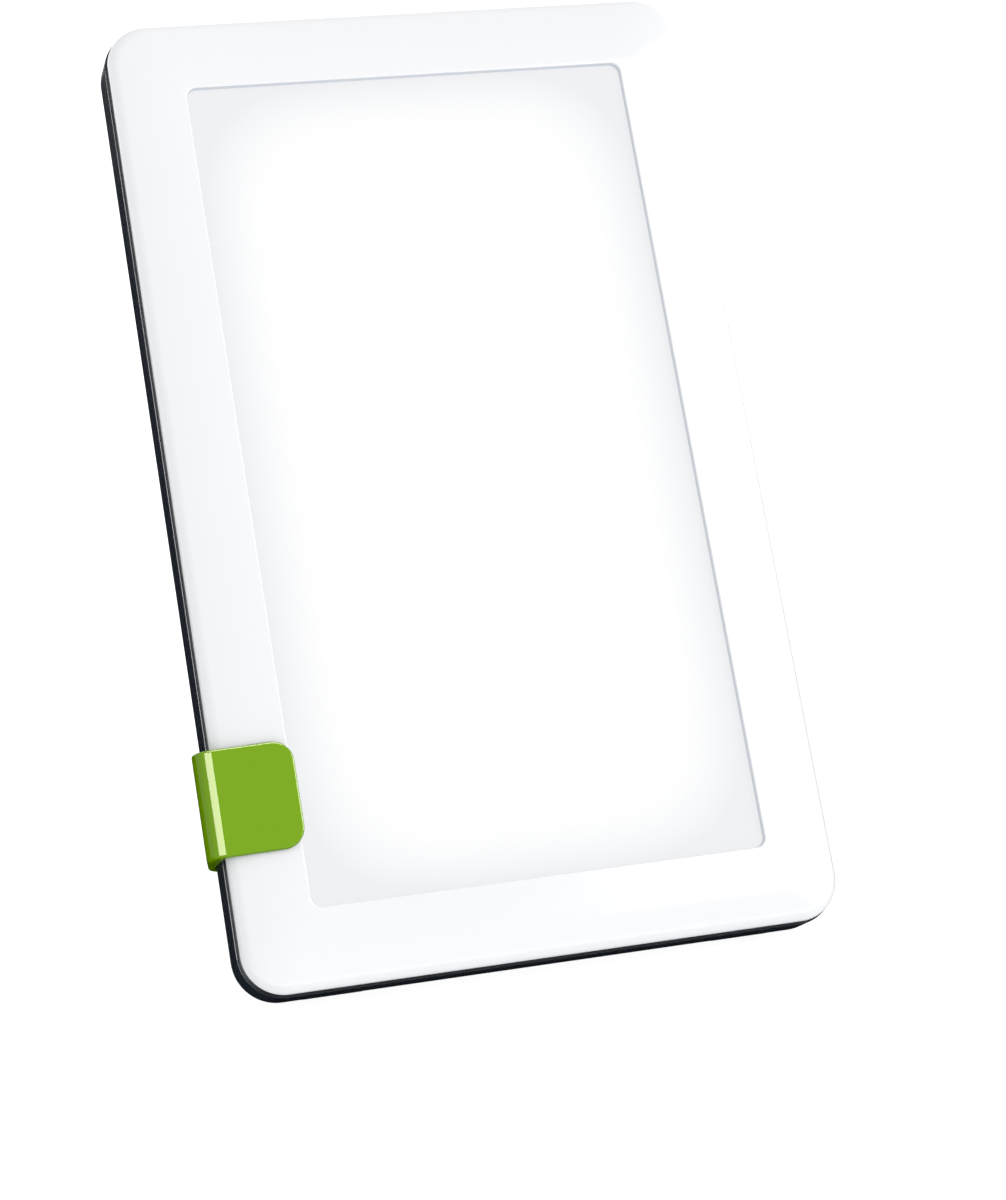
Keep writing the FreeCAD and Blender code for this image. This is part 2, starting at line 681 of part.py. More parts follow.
# ---------------------------------------------------------------- power inlet
def dc_jack():
    """Round socket for a barrel plug, closed at its tail."""
    tail = JACK_MOUTH_X - JACK_L
    body = rod_x(JACK_BODY_R, tail, JACK_MOUTH_X, JACK_Y, JACK_Z)
    flange_r = JACK_RECESS_R + JACK_FLANGE_STEP
    flange = rod_x(flange_r, JACK_MOUTH_X - JACK_FLANGE_T, JACK_MOUTH_X, JACK_Y, JACK_Z)
    bore = rod_x(JACK_BORE_R, JACK_MOUTH_X - JACK_BORE_DEPTH, JACK_MOUTH_X, JACK_Y, JACK_Z)
    seat = rod_x(JACK_ROOT_R, tail, JACK_MOUTH_X, JACK_Y, JACK_Z)
    return fuse([body, flange]).cut(bore).cut(seat)


def dc_pin():
    """Centre contact: a thicker root held in the socket's floor, and a bevelled tip."""
    tail = JACK_MOUTH_X - JACK_L
    floor = JACK_MOUTH_X - JACK_BORE_DEPTH
    tip = JACK_MOUTH_X - JACK_PIN_BACK
    pin = rod_x(JACK_PIN_R, floor, tip, JACK_Y, JACK_Z)
    rim = [edge for edge in pin.Edges if edge.BoundBox.XMin > tip - 1e-6]
    pin = pin.makeChamfer(JACK_PIN_BEVEL, rim)
    return fuse([pin, rod_x(JACK_ROOT_R, tail, floor, JACK_Y, JACK_Z)])


# ---------------------------------------------------------------- power button
def power_button():
    """Dished cap with a flange that holds it in, and a stem for the switch."""
    top = BACK_Y + BUTTON_PROUD
    flange_back = INNER_BACK_Y - BUTTON_FLANGE_GAP
    flange_front = flange_back - BUTTON_FLANGE_T
    cap = rod(BUTTON_R, BUTTON_X, BUTTON_Z, flange_front, top)
    rim = [edge for edge in cap.Edges if edge.BoundBox.YMin > top - 1e-6]
    cap = cap.makeChamfer(BUTTON_BEVEL, rim)
    dish_edge = BUTTON_R - BUTTON_DISH_INSET
    dish_r = (dish_edge**2 + BUTTON_DISH**2) / (2 * BUTTON_DISH)
    dish = Part.makeSphere(dish_r, Vector(BUTTON_X, top - BUTTON_DISH + dish_r, BUTTON_Z))
    flange = rod(BUTTON_FLANGE_R, BUTTON_X, BUTTON_Z, flange_front, flange_back)
    stem = rod(BUTTON_STEM_R, BUTTON_X, BUTTON_Z, SWITCH_TOP + PLUNGER_RISE, flange_front)
    return fuse([cap.cut(dish), flange, stem])


def switch_board():
    return board_plate(
        BUTTON_X - SWITCH_BOARD_W / 2,
        BUTTON_X + SWITCH_BOARD_W / 2,
        SWITCH_BOARD_Y - SWITCH_BOARD_T,
        SWITCH_BOARD_Y,
        BUTTON_Z - SWITCH_BOARD_H / 2,
        BUTTON_Z + SWITCH_BOARD_H / 2,
        switch_screw_places(),
    )


def tact_switch():
    """Switch body with room for its plunger's travel."""
    half = SWITCH_SIZE / 2
    body = block(
        BUTTON_X - half, BUTTON_X + half, SWITCH_BOARD_Y, SWITCH_TOP, BUTTON_Z - half, BUTTON_Z + half
    )
    depth = PLUNGER_DEPTH + BUTTON_TRAVEL + PLUNGER_GAP
    return body.cut(rod(PLUNGER_R + PLUNGER_GAP, BUTTON_X, BUTTON_Z, SWITCH_TOP - depth, SWITCH_TOP))


def switch_plunger():
    return rod(PLUNGER_R, BUTTON_X, BUTTON_Z, SWITCH_TOP - PLUNGER_DEPTH, SWITCH_TOP + PLUNGER_RISE)


# ---------------------------------------------------------------- leads
def lead(points):
    """Flat twin lead: straight runs in one plane, joined by arcs as large as the runs allow."""
    edges = []
    here = points[0]
    for before, corner, after in zip(points, points[1:], points[2:]):
        into = (corner - before).normalize()
        out = (after - corner).normalize()
        cut_back = 0.45 * min((corner - before).Length, (after - corner).Length)
        half_turn = into.getAngle(out) / 2
        radius = cut_back / math.tan(half_turn)
        bisector = (out - into).normalize()
        middle = corner + bisector * (radius / math.cos(half_turn) - radius)
        start = corner - into * cut_back
        edges.append(Part.LineSegment(here, start).toShape())
        here = corner + out * cut_back
        edges.append(Part.Arc(start, middle, here).toShape())
        print("lead radius", round(radius, 1))
    edges.append(Part.LineSegment(here, points[-1]).toShape())
    across = (points[1] - points[0]).cross(ALONG_Y).normalize() * (LEAD_W / 2)
    thick = ALONG_Y * (LEAD_T / 2)
    turns = ((-1, -1), (1, -1), (1, 1), (-1, 1), (-1, -1))
    section = Part.makePolygon([points[0] + across * a + thick * b for a, b in turns])
    return Part.Wire(edges).makePipeShell([section], True, False)


def inlet_lead():
    start = Vector(JACK_MOUTH_X - JACK_L, CONNECTOR_Y, JACK_Z)
    return lead([start, Vector(BOARD_X0 + BOARD_W, CONNECTOR_Y, JACK_Z)])


def led_lead(side):
    """Lead from a strip's tail to the control board."""
    start = Vector(side * STRIP_X, CONNECTOR_Y, STRIP_TAIL_Z)
    if side > 0:
        return lead([start, Vector(BOARD_X0 + BOARD_W, CONNECTOR_Y, STRIP_TAIL_Z)])
    end = Vector(BOARD_X0, CONNECTOR_Y, STRIP_TAIL_Z)
    run = end - start
    sway = Vector(0, 0, LEAD_SWAY)
    return lead([start, start + run * 0.35, start + run * 0.65 + sway, end + sway])


def switch_lead():
    """Lead that runs up the back from the control board to the switch board."""
    y = SWITCH_BOARD_Y + LEAD_T / 2
    low = Vector(SWITCH_LEAD_X, y, BOARD_Z0 + BOARD_H)
    high = Vector(SWITCH_LEAD_X, y, BUTTON_Z - SWITCH_BOARD_H / 2)
    run = high - low
    sway = Vector(-LEAD_SWAY, 0, 0)
    return lead([low, low + run * 0.35, low + run * 0.7 + sway, high + sway])


# ---------------------------------------------------------------- back shell
def shell_ribs():
    """Grid of low ribs on the back wall."""
    ribs = []
    reach_x = SHELL_HX - SHELL_WALL
    reach_z = SHELL_HZ - SHELL_WALL
    top = INNER_BACK_Y - RIB_RISE
    back = (INNER_BACK_Y + BACK_Y) / 2
    for number in range(RIB_COLUMNS):
        x = (number - (RIB_COLUMNS - 1) / 2) * RIB_COLUMN_PITCH
        ribs.append(block(x - RIB_T / 2, x + RIB_T / 2, top, back, -reach_z, reach_z))
    for number in range(RIB_ROWS):
        z = (number - (RIB_ROWS - 1) / 2) * RIB_ROW_PITCH
        ribs.append(block(-reach_x, reach_x, top, back, z - RIB_T / 2, z + RIB_T / 2))
    return ribs


def tray_post_places():
    z = GUIDE_HZ - TRAY_POST_FROM_END
    return [(-TRAY_POST_X, -z), (-TRAY_POST_X, z), (0, 0)]


def shell_bosses():
    """Bosses for the closing screws, the boards and the tray, and the button's collar."""
    bosses = []
    back = (INNER_BACK_Y + BACK_Y) / 2
    for x, z in screw_places():
        bosses.append(rod(COUNTERBORE_R + BOSS_WALL, x, z, 0, back))
    for x, z in board_screw_places():
        bosses.append(rod(PCB_BOSS_R, x, z, BOARD_REAR_Y, back))
    for x, z in switch_screw_places():
        bosses.append(rod(PCB_BOSS_R, x, z, SWITCH_BOARD_Y, back))
    for x, z in tray_post_places():
        bosses.append(rod(TRAY_POST_R, x, z, TRAY_BACK_Y + STACK_GAP, back))
    collar_r = BUTTON_FLANGE_R + COLLAR_GAP + COLLAR_WALL
    bosses.append(rod(collar_r, BUTTON_X, BUTTON_Z, INNER_BACK_Y - COLLAR_RISE, back))
    return bosses


def shell_holes():
    """Counterbores, pilot holes, the button's hole and the plug's recess."""
    holes = []
    for x, z in screw_places():
        holes.append(rod(SCREW_R + SCREW_PLAY, x, z, 0, BACK_Y))
        holes.append(rod(COUNTERBORE_R, x, z, SCREW_SEAT_Y, BACK_Y))
    for places, y in (
        (board_screw_places(), BOARD_REAR_Y),
        (switch_screw_places(), SWITCH_BOARD_Y),
    ):
        for x, z in places:
            holes.append(rod(PCB_SCREW_R + SCREW_FIT, x, z, y, y + PCB_SCREW_BITE + PILOT_OVER))
    collar_front = INNER_BACK_Y - COLLAR_RISE
    holes.append(rod(BUTTON_R + BUTTON_GAP, BUTTON_X, BUTTON_Z, collar_front, BACK_Y))
    holes.append(rod(BUTTON_FLANGE_R + COLLAR_GAP, BUTTON_X, BUTTON_Z, collar_front, INNER_BACK_Y))
    holes.append(rod_x(JACK_RECESS_R, JACK_MOUTH_X, SHELL_HX, JACK_Y, JACK_Z))
    return holes


def foot_pad_block(sink, gap, side):
    """Block on the rear lower edge, square to the table."""
    half_l = PAD_L / 2 + gap
    half_w = PAD_W / 2 + gap
    top = FOOT_ARC + DOWN * (SHELL_EDGE_R - sink) + Vector(side * PAD_X, 0, 0)
    corners = []
    for sx, sw in ((-1, -1), (1, -1), (1, 1), (-1, 1)):
        corners.append(top + Vector(sx * half_l, 0, 0) + LEVEL * (PAD_BACK + sw * half_w))
    return closed(corners).extrude(DOWN * (sink + PAD_PROUD))


def back_shell():
    """Moulded tub with a rounded rear edge, a lip inside the bezel, ribs and bosses."""
    outer = slab(SHELL_HX, SHELL_HZ, SHELL_CORNER_R, SEAM, BACK_Y)
    rear = [edge for edge in outer.Edges if edge.BoundBox.YMin > BACK_Y - 1e-6]
    outer = outer.makeFillet(SHELL_EDGE_R, rear)
    inner_r = SHELL_CORNER_R - SHELL_WALL
    inner = slab(SHELL_HX - SHELL_WALL, SHELL_HZ - SHELL_WALL, inner_r, SEAM, INNER_BACK_Y)
    rear = [edge for edge in inner.Edges if edge.BoundBox.YMin > INNER_BACK_Y - 1e-6]
    inner = inner.makeChamfer((SHELL_EDGE_R - SHELL_WALL) * DIAGONAL, rear)
    lip_x = BEZEL_W / 2 - LIP_INSET
    lip_z = BEZEL_H / 2 - LIP_INSET
    lip_r = BEZEL_CORNER_R - LIP_INSET
    lip = ring(lip_x, lip_z, lip_r, LIP_WALL, -LIP_RISE, RIM_DEPTH)
    rim_w = SHELL_PROUD + LIP_INSET + LIP_WALL
    rim = ring(SHELL_HX, SHELL_HZ, SHELL_CORNER_R, rim_w, SEAM, RIM_DEPTH)
    sleeve_r = JACK_RECESS_R + JACK_SLEEVE_WALL
    sleeve = rod_x(sleeve_r, JACK_MOUTH_X, SHELL_HX - SHELL_WALL / 2, JACK_Y, JACK_Z)
    envelope = outer.fuse(slab(lip_x, lip_z, lip_r, 0, SEAM))
    inside = [piece.common(envelope) for piece in shell_ribs() + shell_bosses()]
    shell = fuse([outer.cut(inner), lip, rim, sleeve] + inside)
    pockets = [foot_pad_block(PAD_SINK, PAD_FIT, side) for side in (-1, 1)]
    return shell.cut(Part.makeCompound(shell_holes() + pockets))


def shell_screws():
    tip = -POST_GAP - SCREW_BITE
    return Part.makeCompound(
        [screw(SCREW_R, SCREW_HEAD_R, SCREW_HEAD_T, place, SCREW_SEAT_Y, tip) for place in screw_places()]
    )


def foot_pads():
    return Part.makeCompound([foot_pad_block(PAD_SINK, 0, side) for side in (-1, 1)])


# ---------------------------------------------------------------- stand
def table_z(y, lift=0.0):
    """Height in the panel's frame of the table, or of a plane above it, at a given Y."""
    point = FOOT_ARC + DOWN * (TABLE_DROP - lift)
    return point.z + (y - point.y) * SIN_LEAN / COS_LEAN


def touching(first, first_r, second, second_r, side):
    """Direction from the middles of two arcs to a line that touches both, on one side or the other."""
    apart = second - first
    lean = (first_r - second_r) / apart.Length
    along = apart.normalize()
    square = Vector(-along.y, along.x, 0) * side
    return along * lean + square * math.sqrt(1 - lean**2)


def clip_outline():
    """Section of the clip: tongue over the bezel, web past the side, jaw behind the shell.

    The tongue is flat outside. The web bulges at its front and draws in towards the shell's rear edge.
    """
    left = -BEZEL_W / 2

    def over_face(along, offset):
        inset, height = crown_point(along, offset)
        return Vector(left + inset, -height, CLIP_LOW)

    inner = CLIP_GAP
    outer = CLIP_GAP + CLIP_WALL
    web_in = -SHELL_HX - CLIP_GAP
    front_x = web_in - CLIP_WALL - CLIP_BULGE + CLIP_FRONT_R
    inner_r = SHELL_EDGE_R + CLIP_GAP
    outer_r = inner_r + CLIP_WALL
    side_y = BACK_Y - SHELL_EDGE_R
    bend = Vector(web_in + inner_r, side_y, CLIP_LOW)
    front = Vector(front_x, over_face(1, outer).y + CLIP_FRONT_R, CLIP_LOW)
    tip = Vector(CLIP_TIP, over_face(2, outer).y, CLIP_LOW)
    lip_in = over_face(2, inner)
    to_face = touching(front, CLIP_FRONT_R, tip, 0, -1)
    to_web = touching(front, CLIP_FRONT_R, bend, outer_r, 1)
    between = (to_face + to_web).normalize()
    return [
        tip,
        front + to_face * CLIP_FRONT_R,
        (front + between * CLIP_FRONT_R, front + to_web * CLIP_FRONT_R),
        bend + to_web * outer_r,
        (bend + Vector(-DIAGONAL, DIAGONAL, 0) * outer_r, Vector(bend.x, side_y + outer_r, CLIP_LOW)),
        Vector(bend.x + JAW_RAMP, JAW_BACK_Y, CLIP_LOW),
        Vector(JAW_TIP, JAW_BACK_Y, CLIP_LOW),
        Vector(JAW_TIP, JAW_FRONT_Y, CLIP_LOW),
        Vector(bend.x, JAW_FRONT_Y, CLIP_LOW),
        (bend + Vector(-DIAGONAL, DIAGONAL, 0) * inner_r, Vector(web_in, side_y, CLIP_LOW)),
        Vector(web_in, -EDGE_WALL, CLIP_LOW),
        (over_face(0.5, inner), over_face(1, inner)),
        (over_face(1.5, inner), lip_in),
        Vector(CLIP_TIP, lip_in.y, CLIP_LOW),
    ]


def edges_along_y(shape, x):
    """Edges that run along Y at a given X."""
    found = []
    for edge in shape.Edges:
        box = edge.BoundBox
        if box.XLength < 1e-6 and box.ZLength < 1e-6 and abs(box.XMin - x) < 1e-6:
            found.append(edge)
    return found


def clip_form():
    """Clip with rounded corners on its tongue and its jaw."""
    clip = closed(clip_outline()).extrude(Vector(0, 0, CLIP_H))
    clip = clip.makeFillet(CLIP_TONGUE_R, edges_along_y(clip, CLIP_TIP))
    return clip.makeFillet(JAW_CORNER_R, edges_along_y(clip, JAW_TIP))


def leg_top(y):
    """Height of the straight line from the leg's root to its toe, along its upper side."""
    root_y = JAW_BACK_Y - LEG_ROOT
    root_z = CLIP_HIGH - LEG_INSET
    toe_z = table_z(LEG_TOE_Y, SOLE_T - SOLE_SINK) + LEG_TOE_H
    return root_z + (toe_z - root_z) * (y - root_y) / (LEG_TOE_Y - root_y)


def leg_side_view():
    """Face of the leg seen from the side: a low arch from the jaw to the toe."""
    middle_y = BACK_Y + LEG_MIDDLE
    root_y = JAW_BACK_Y - LEG_ROOT
    top = leg_top(middle_y) + LEG_CROWN
    flat = SOLE_T - SOLE_SINK
    return closed([
        Vector(0, root_y, leg_top(root_y)),
        (Vector(0, middle_y, top), Vector(0, LEG_TOE_Y, leg_top(LEG_TOE_Y))),
        Vector(0, LEG_TOE_Y, table_z(LEG_TOE_Y, flat)),
        Vector(0, LEG_HEEL_Y, table_z(LEG_HEEL_Y, flat)),
        (Vector(0, middle_y, top - LEG_ARCH), Vector(0, root_y, CLIP_LOW + LEG_INSET)),
    ])


def hollow_side_view():
    """Face of the hollow under the leg, seen from the side."""
    start = JAW_BACK_Y - LEG_ROOT + LEG_HOLLOW_FROM
    end = LEG_HEEL_Y - LEG_SKIN
    middle_y = BACK_Y + LEG_MIDDLE
    return closed([
        Vector(0, start, leg_top(start) - LEG_SKIN),
        (
            Vector(0, middle_y, leg_top(middle_y) + LEG_CROWN - LEG_SKIN),
            Vector(0, end, leg_top(end) - LEG_SKIN),
        ),
        Vector(0, end, -SPAN),
        Vector(0, start, -SPAN),
    ])


def leg_plan_view(inset):
    """Face of the leg seen from above: its sides sweep towards the lamp's middle."""
    root_y = JAW_BACK_Y - LEG_ROOT
    middle_y = BACK_Y + LEG_MIDDLE
    toe_y = LEG_TOE_Y - inset
    left = [reach + inset - BEZEL_W / 2 for reach in LEG_LEFT]
    right = [reach - inset - BEZEL_W / 2 for reach in LEG_RIGHT]
    radius = LEG_TOE_R - inset
    bevel = radius * (1 - DIAGONAL)
    return closed([
        Vector(left[0], root_y, -SPAN),
        (Vector(left[1], middle_y, -SPAN), Vector(left[2], toe_y - radius, -SPAN)),
        (Vector(left[2] + bevel, toe_y - bevel, -SPAN), Vector(left[2] + radius, toe_y, -SPAN)),
        Vector(right[2] - radius, toe_y, -SPAN),
        (Vector(right[2] - bevel, toe_y - bevel, -SPAN), Vector(right[2], toe_y - radius, -SPAN)),
        (Vector(right[1], middle_y, -SPAN), Vector(right[0], root_y, -SPAN)),
    ])


def leg_form(side_view, inset):
    """Body with a given side view, inside the leg's plan view less an inset."""
    side_view.translate(Vector(-SPAN / 2, 0, 0))
    column = leg_plan_view(inset).extrude(Vector(0, 0, 2 * SPAN))
    return side_view.extrude(Vector(SPAN, 0, 0)).common(column)


def leg_body():
    """Leg with its upper edge broken, hollow underneath but for two webs."""
    leg = leg_form(leg_side_view(), 0)
    middle_y = BACK_Y + LEG_MIDDLE
    crest = Part.Vertex(Vector(LEG_LEFT[2] - BEZEL_W / 2, middle_y, leg_top(middle_y) + LEG_CROWN))
    top = min(leg.Faces, key=lambda face: face.distToShape(crest)[0])
    root_y = JAW_BACK_Y - LEG_ROOT
    leg = leg.makeChamfer(LEG_EDGE, [edge for edge in top.Edges if edge.BoundBox.YMax > root_y + 1e-6])
    hollow = leg_form(hollow_side_view(), LEG_SKIN)
    webs = []
    for reach in LEG_WEBS:
        y = BACK_Y + reach
        webs.append(block(-SPAN, SPAN, y, y + LEG_WEB_T, -SPAN, SPAN))
    return leg.cut(hollow.cut(Part.makeCompound(webs)))


def sole_form(gap, low, high):
    """Slab inside the foot's outline, between two heights over the table."""
    heel_y = LEG_HEEL_Y + SOLE_INSET - gap
    side = closed([
        Vector(0, heel_y, table_z(heel_y, high)),
        Vector(0, LEG_TOE_Y, table_z(LEG_TOE_Y, high)),
        Vector(0, LEG_TOE_Y, table_z(LEG_TOE_Y, low)),
        Vector(0, heel_y, table_z(heel_y, low)),
    ])
    return leg_form(side, SOLE_INSET - gap)


def grip_form(gap, front, back):
    """Pad against the shell's back, inside the jaw."""
    left = SHELL_EDGE_R - SHELL_HX + GRIP_INSET - gap
    right = JAW_TIP - GRIP_INSET + gap
    low = CLIP_LOW + GRIP_INSET - gap
    high = CLIP_HIGH - GRIP_INSET + gap
    return block(left, right, front, back, low, high)


def stand_clip():
    """Clip and leg in one moulding, with pockets for the sole and the grip pad."""
    stand = fuse([clip_form(), leg_body()])
    stand = stand.cut(sole_form(PAD_FIT, 0, SOLE_T))
    return stand.cut(grip_form(PAD_FIT, JAW_FRONT_Y, JAW_FRONT_Y + GRIP_POCKET))


def stand_sole():
    return sole_form(0, 0, SOLE_T)


def stand_grip_pad():
    pocket = JAW_FRONT_Y + GRIP_POCKET
    return grip_form(0, pocket - GRIP_T, pocket)


# ---------------------------------------------------------------- whole lamp
def build():
    return {
        "front_bezel": front_bezel(),
        "seam_ring": seam_ring(),
        "screen_gasket": screen_gasket(),
        "light_screen": light_screen(),
        "prism_film": film(PRISM_Y),
        "diffuser_film": film(DIFFUSER_Y),
        "light_guide_plate": light_guide_plate(),
        "reflector_sheet": reflector_sheet(),
        "led_strip_left": led_strip(-1),
        "led_strip_right": led_strip(1),
        "leds_left": leds(-1),
        "leds_right": leds(1),
        "heat_tray": heat_tray(),
        "tray_screws": tray_screws(),
        "control_board": control_board(),
        "board_screws": board_screws(),
        "driver_chip": driver_chip(),
        "power_coil": power_coil(),
        "capacitors": capacitors(),
        "lead_connectors": lead_connectors(),
        "dc_jack": dc_jack(),
        "dc_pin": dc_pin(),
        "inlet_lead": inlet_lead(),
        "led_lead_left": led_lead(-1),
        "led_lead_right": led_lead(1),
        "switch_lead": switch_lead(),
        "switch_board": switch_board(),
        "tact_switch": tact_switch(),
        "switch_plunger": switch_plunger(),
        "power_button": power_button(),
        "back_shell": back_shell(),
        "shell_screws": shell_screws(),
        "foot_pads": foot_pads(),
        "stand_clip": stand_clip(),
        "stand_sole": stand_sole(),
        "stand_grip_pad": stand_grip_pad(),
    }


def lean_back(shape):
    """Turn a shape from the panel's frame to its posture on the table."""
    leaned = shape.copy()
    leaned.rotate(Vector(0, 0, 0), Vector(1, 0, 0), -LEAN)
    return leaned


def set_down(nodes):
    """Lean every node back and put the origin under the middle of the whole lamp."""
    leaned = {name: lean_back(shape) for name, shape in nodes.items()}
    box = Part.makeCompound(list(leaned.values())).optimalBoundingBox(False)
    shift = Vector(-(box.XMin + box.XMax) / 2, -(box.YMin + box.YMax) / 2, -box.ZMin)
    for shape in leaned.values():
        shape.translate(shift)
    return leaned, shift


def export(nodes):
    os.makedirs("parts", exist_ok=True)
    for name, shape in nodes.items():
        print(name, len(shape.Solids), round(shape.Volume, 1), shape.isValid())
        shape.exportStep("parts/" + name + ".step")


placed, shift = set_down(build())
export(placed)
print("shift from the panel's frame after leaning", [round(v, 4) for v in shift])
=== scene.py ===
# %% [markdown]
# # A light therapy lamp, finished for looks
# The lamp is a slim panel that leans back on a clip-on stand. Its CAD model is loaded as a
# fixed frame: every solid already stands in its place, in metres. What follows puts a finely
# made piece over each solid that is seen, and a finish on the ones that stay.

# %% Load the frame
import json
import math
import bpy
import bmesh
from mathutils import Matrix, Quaternion, Vector


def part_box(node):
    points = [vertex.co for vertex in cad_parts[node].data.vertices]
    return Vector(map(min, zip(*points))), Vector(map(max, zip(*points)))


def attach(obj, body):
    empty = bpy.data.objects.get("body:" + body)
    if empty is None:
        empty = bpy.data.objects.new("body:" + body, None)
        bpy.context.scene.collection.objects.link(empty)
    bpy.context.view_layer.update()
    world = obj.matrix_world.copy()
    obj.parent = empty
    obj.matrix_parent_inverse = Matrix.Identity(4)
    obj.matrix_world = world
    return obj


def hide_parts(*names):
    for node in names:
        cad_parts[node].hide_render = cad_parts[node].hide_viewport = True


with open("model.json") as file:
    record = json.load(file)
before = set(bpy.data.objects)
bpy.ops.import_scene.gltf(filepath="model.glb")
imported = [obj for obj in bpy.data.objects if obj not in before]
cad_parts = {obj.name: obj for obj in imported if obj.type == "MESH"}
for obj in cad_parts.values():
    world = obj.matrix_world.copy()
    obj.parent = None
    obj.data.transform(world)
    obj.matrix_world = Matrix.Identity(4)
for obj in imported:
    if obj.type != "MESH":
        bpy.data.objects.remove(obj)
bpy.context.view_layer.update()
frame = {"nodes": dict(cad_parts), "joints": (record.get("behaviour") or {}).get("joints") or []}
nodes = frame["nodes"]

# %% [markdown]
# ## The panel's own directions
# The panel leans, so its pieces are easiest to shape lying square to their own axes: X across,
# Y from the lit face to the back, Z up along the panel, in millimetres, with Y = 0 in the seam.
# The stand slides exactly along Z, so the joint's axis gives the lean, and the middle of the
# lit screen gives the place. One matrix then takes every finished mesh to where it stands.

# %% From the panel to the room
slide = next(joint for joint in frame["joints"] if joint["name"] == "stand_slide")
LEAN = math.atan2(slide["axis"][1], slide["axis"][2])
TURN = Matrix.Rotation(-LEAN, 4, "X")
MM = 0.001
SCREEN_FRONT, SCREEN_REAR = -4.5, -2.5
screen_low, screen_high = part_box("light_screen")
middle_of_screen = TURN @ Vector((0, (SCREEN_FRONT + SCREEN_REAR) / 2 * MM, 0))
ORIGIN = (screen_low + screen_high) / 2 - middle_of_screen
PANEL = Matrix.Translation(ORIGIN) @ TURN @ Matrix.Scale(MM, 4)
TO_PANEL = PANEL.inverted()


def panel_box(name):
    """Lowest and highest corners of a CAD node, measured along the panel's own directions."""
    points = [TO_PANEL @ vertex.co for vertex in nodes[name].data.vertices]
    return (
        Vector([min(point[axis] for point in points) for axis in range(3)]),
        Vector([max(point[axis] for point in points) for axis in range(3)]),
    )


print("lean", round(math.degrees(LEAN), 2), "panel's middle", [round(v, 5) for v in ORIGIN])

# %% [markdown]
# ## The camera
# A long lens from the left of the lamp and a little above it, as the catalogue view of such a
# lamp has it. The direction comes from two angles, and a small roll tips the horizon.

# %% Camera
EYE = Vector((-0.18582, -0.67826, 0.28112))
HEADING, DROP, ROLL = math.radians(16.1854), math.radians(16.3457), math.radians(-1.5914)
LENS, FILM_WIDTH = 90.115, 36.0
ahead = Vector(
    (math.sin(HEADING) * math.cos(DROP), math.cos(HEADING) * math.cos(DROP), -math.sin(DROP))
)
camera = bpy.data.objects.new("camera", bpy.data.cameras.new("camera"))
bpy.context.scene.collection.objects.link(camera)
camera.data.lens = LENS
camera.data.sensor_width = FILM_WIDTH
camera.location = EYE
camera.rotation_mode = "QUATERNION"
camera.rotation_quaternion = ahead.to_track_quat("-Z", "Y") @ Quaternion((0, 0, 1), ROLL)
bpy.context.scene.camera = camera
bpy.context.scene.view_settings.view_transform = "Standard"
print("camera at", list(EYE), "looks along", [round(v, 4) for v in ahead])

# %% [markdown]
# ## Shared shader groups
# Three effects are used by many finishes, so each is a node group that is built once.
# *fine texture* is the tiny relief of a moulded or etched surface, as a height for a Bump node.
# *handled gloss* lets the roughness wander a little, as it does where hands and dust have been.
# *uneven tone* lightens and darkens a colour very slightly, because no real surface is one colour.

# %% Group helper
def new_group(name, inputs, outputs):
    group = bpy.data.node_groups.new(name, "ShaderNodeTree")
    for label, kind, value in inputs:
        socket = group.interface.new_socket(label, in_out="INPUT", socket_type=kind)
        if value is not None:
            socket.default_value = value
    for label, kind in outputs:
        group.interface.new_socket(label, in_out="OUTPUT", socket_type=kind)
    return group, group.nodes.new("NodeGroupInput"), group.nodes.new("NodeGroupOutput")


def noise_in(group, source, detail):
    noise = group.nodes.new("ShaderNodeTexNoise")
    noise.inputs["Detail"].default_value = detail
    group.links.new(source.outputs["Place"], noise.inputs["Vector"])
    group.links.new(source.outputs["Scale"], noise.inputs["Scale"])
    return noise


NOISE_LOW, NOISE_HIGH = 0.3, 0.7  # a noise seldom leaves this range


def remap(group, value, low, high):
    """Spreads a noise between two sockets."""
    node = group.nodes.new("ShaderNodeMapRange")
    node.inputs["From Min"].default_value = NOISE_LOW
    node.inputs["From Max"].default_value = NOISE_HIGH
    group.links.new(value, node.inputs["Value"])
    group.links.new(low, node.inputs["To Min"])
    group.links.new(high, node.inputs["To Max"])
    return node.outputs["Result"]


# %% The three groups
texture_group, given, out = new_group(
    "fine texture",
    [("Place", "NodeSocketVector", None), ("Scale", "NodeSocketFloat", 4000.0)],
    [("Height", "NodeSocketFloat")],
)
texture_group.links.new(noise_in(texture_group, given, 3.0).outputs["Fac"], out.inputs["Height"])

gloss_group, given, out = new_group(
    "handled gloss",
    [
        ("Place", "NodeSocketVector", None),
        ("Scale", "NodeSocketFloat", 40.0),
        ("Cleanest", "NodeSocketFloat", 0.1),
        ("Dullest", "NodeSocketFloat", 0.2),
    ],
    [("Roughness", "NodeSocketFloat")],
)
smudges = noise_in(gloss_group, given, 6.0)
gloss_group.links.new(
    remap(gloss_group, smudges.outputs["Fac"], given.outputs["Cleanest"], given.outputs["Dullest"]),
    out.inputs["Roughness"],
)

tone_group, given, out = new_group(
    "uneven tone",
    [
        ("Place", "NodeSocketVector", None),
        ("Scale", "NodeSocketFloat", 60.0),
        ("Light", "NodeSocketColor", (0.8, 0.8, 0.8, 1)),
        ("Dark", "NodeSocketColor", (0.7, 0.7, 0.7, 1)),
    ],
    [("Color", "NodeSocketColor")],
)
clouds = noise_in(tone_group, given, 4.0)
blend = tone_group.nodes.new("ShaderNodeMix")
blend.data_type = "RGBA"
tone_group.links.new(clouds.outputs["Fac"], blend.inputs["Factor"])
tone_group.links.new(given.outputs["Dark"], blend.inputs[6])
tone_group.links.new(given.outputs["Light"], blend.inputs[7])
tone_group.links.new(blend.outputs[2], out.inputs["Color"])
print("groups:", [group.name for group in bpy.data.node_groups])

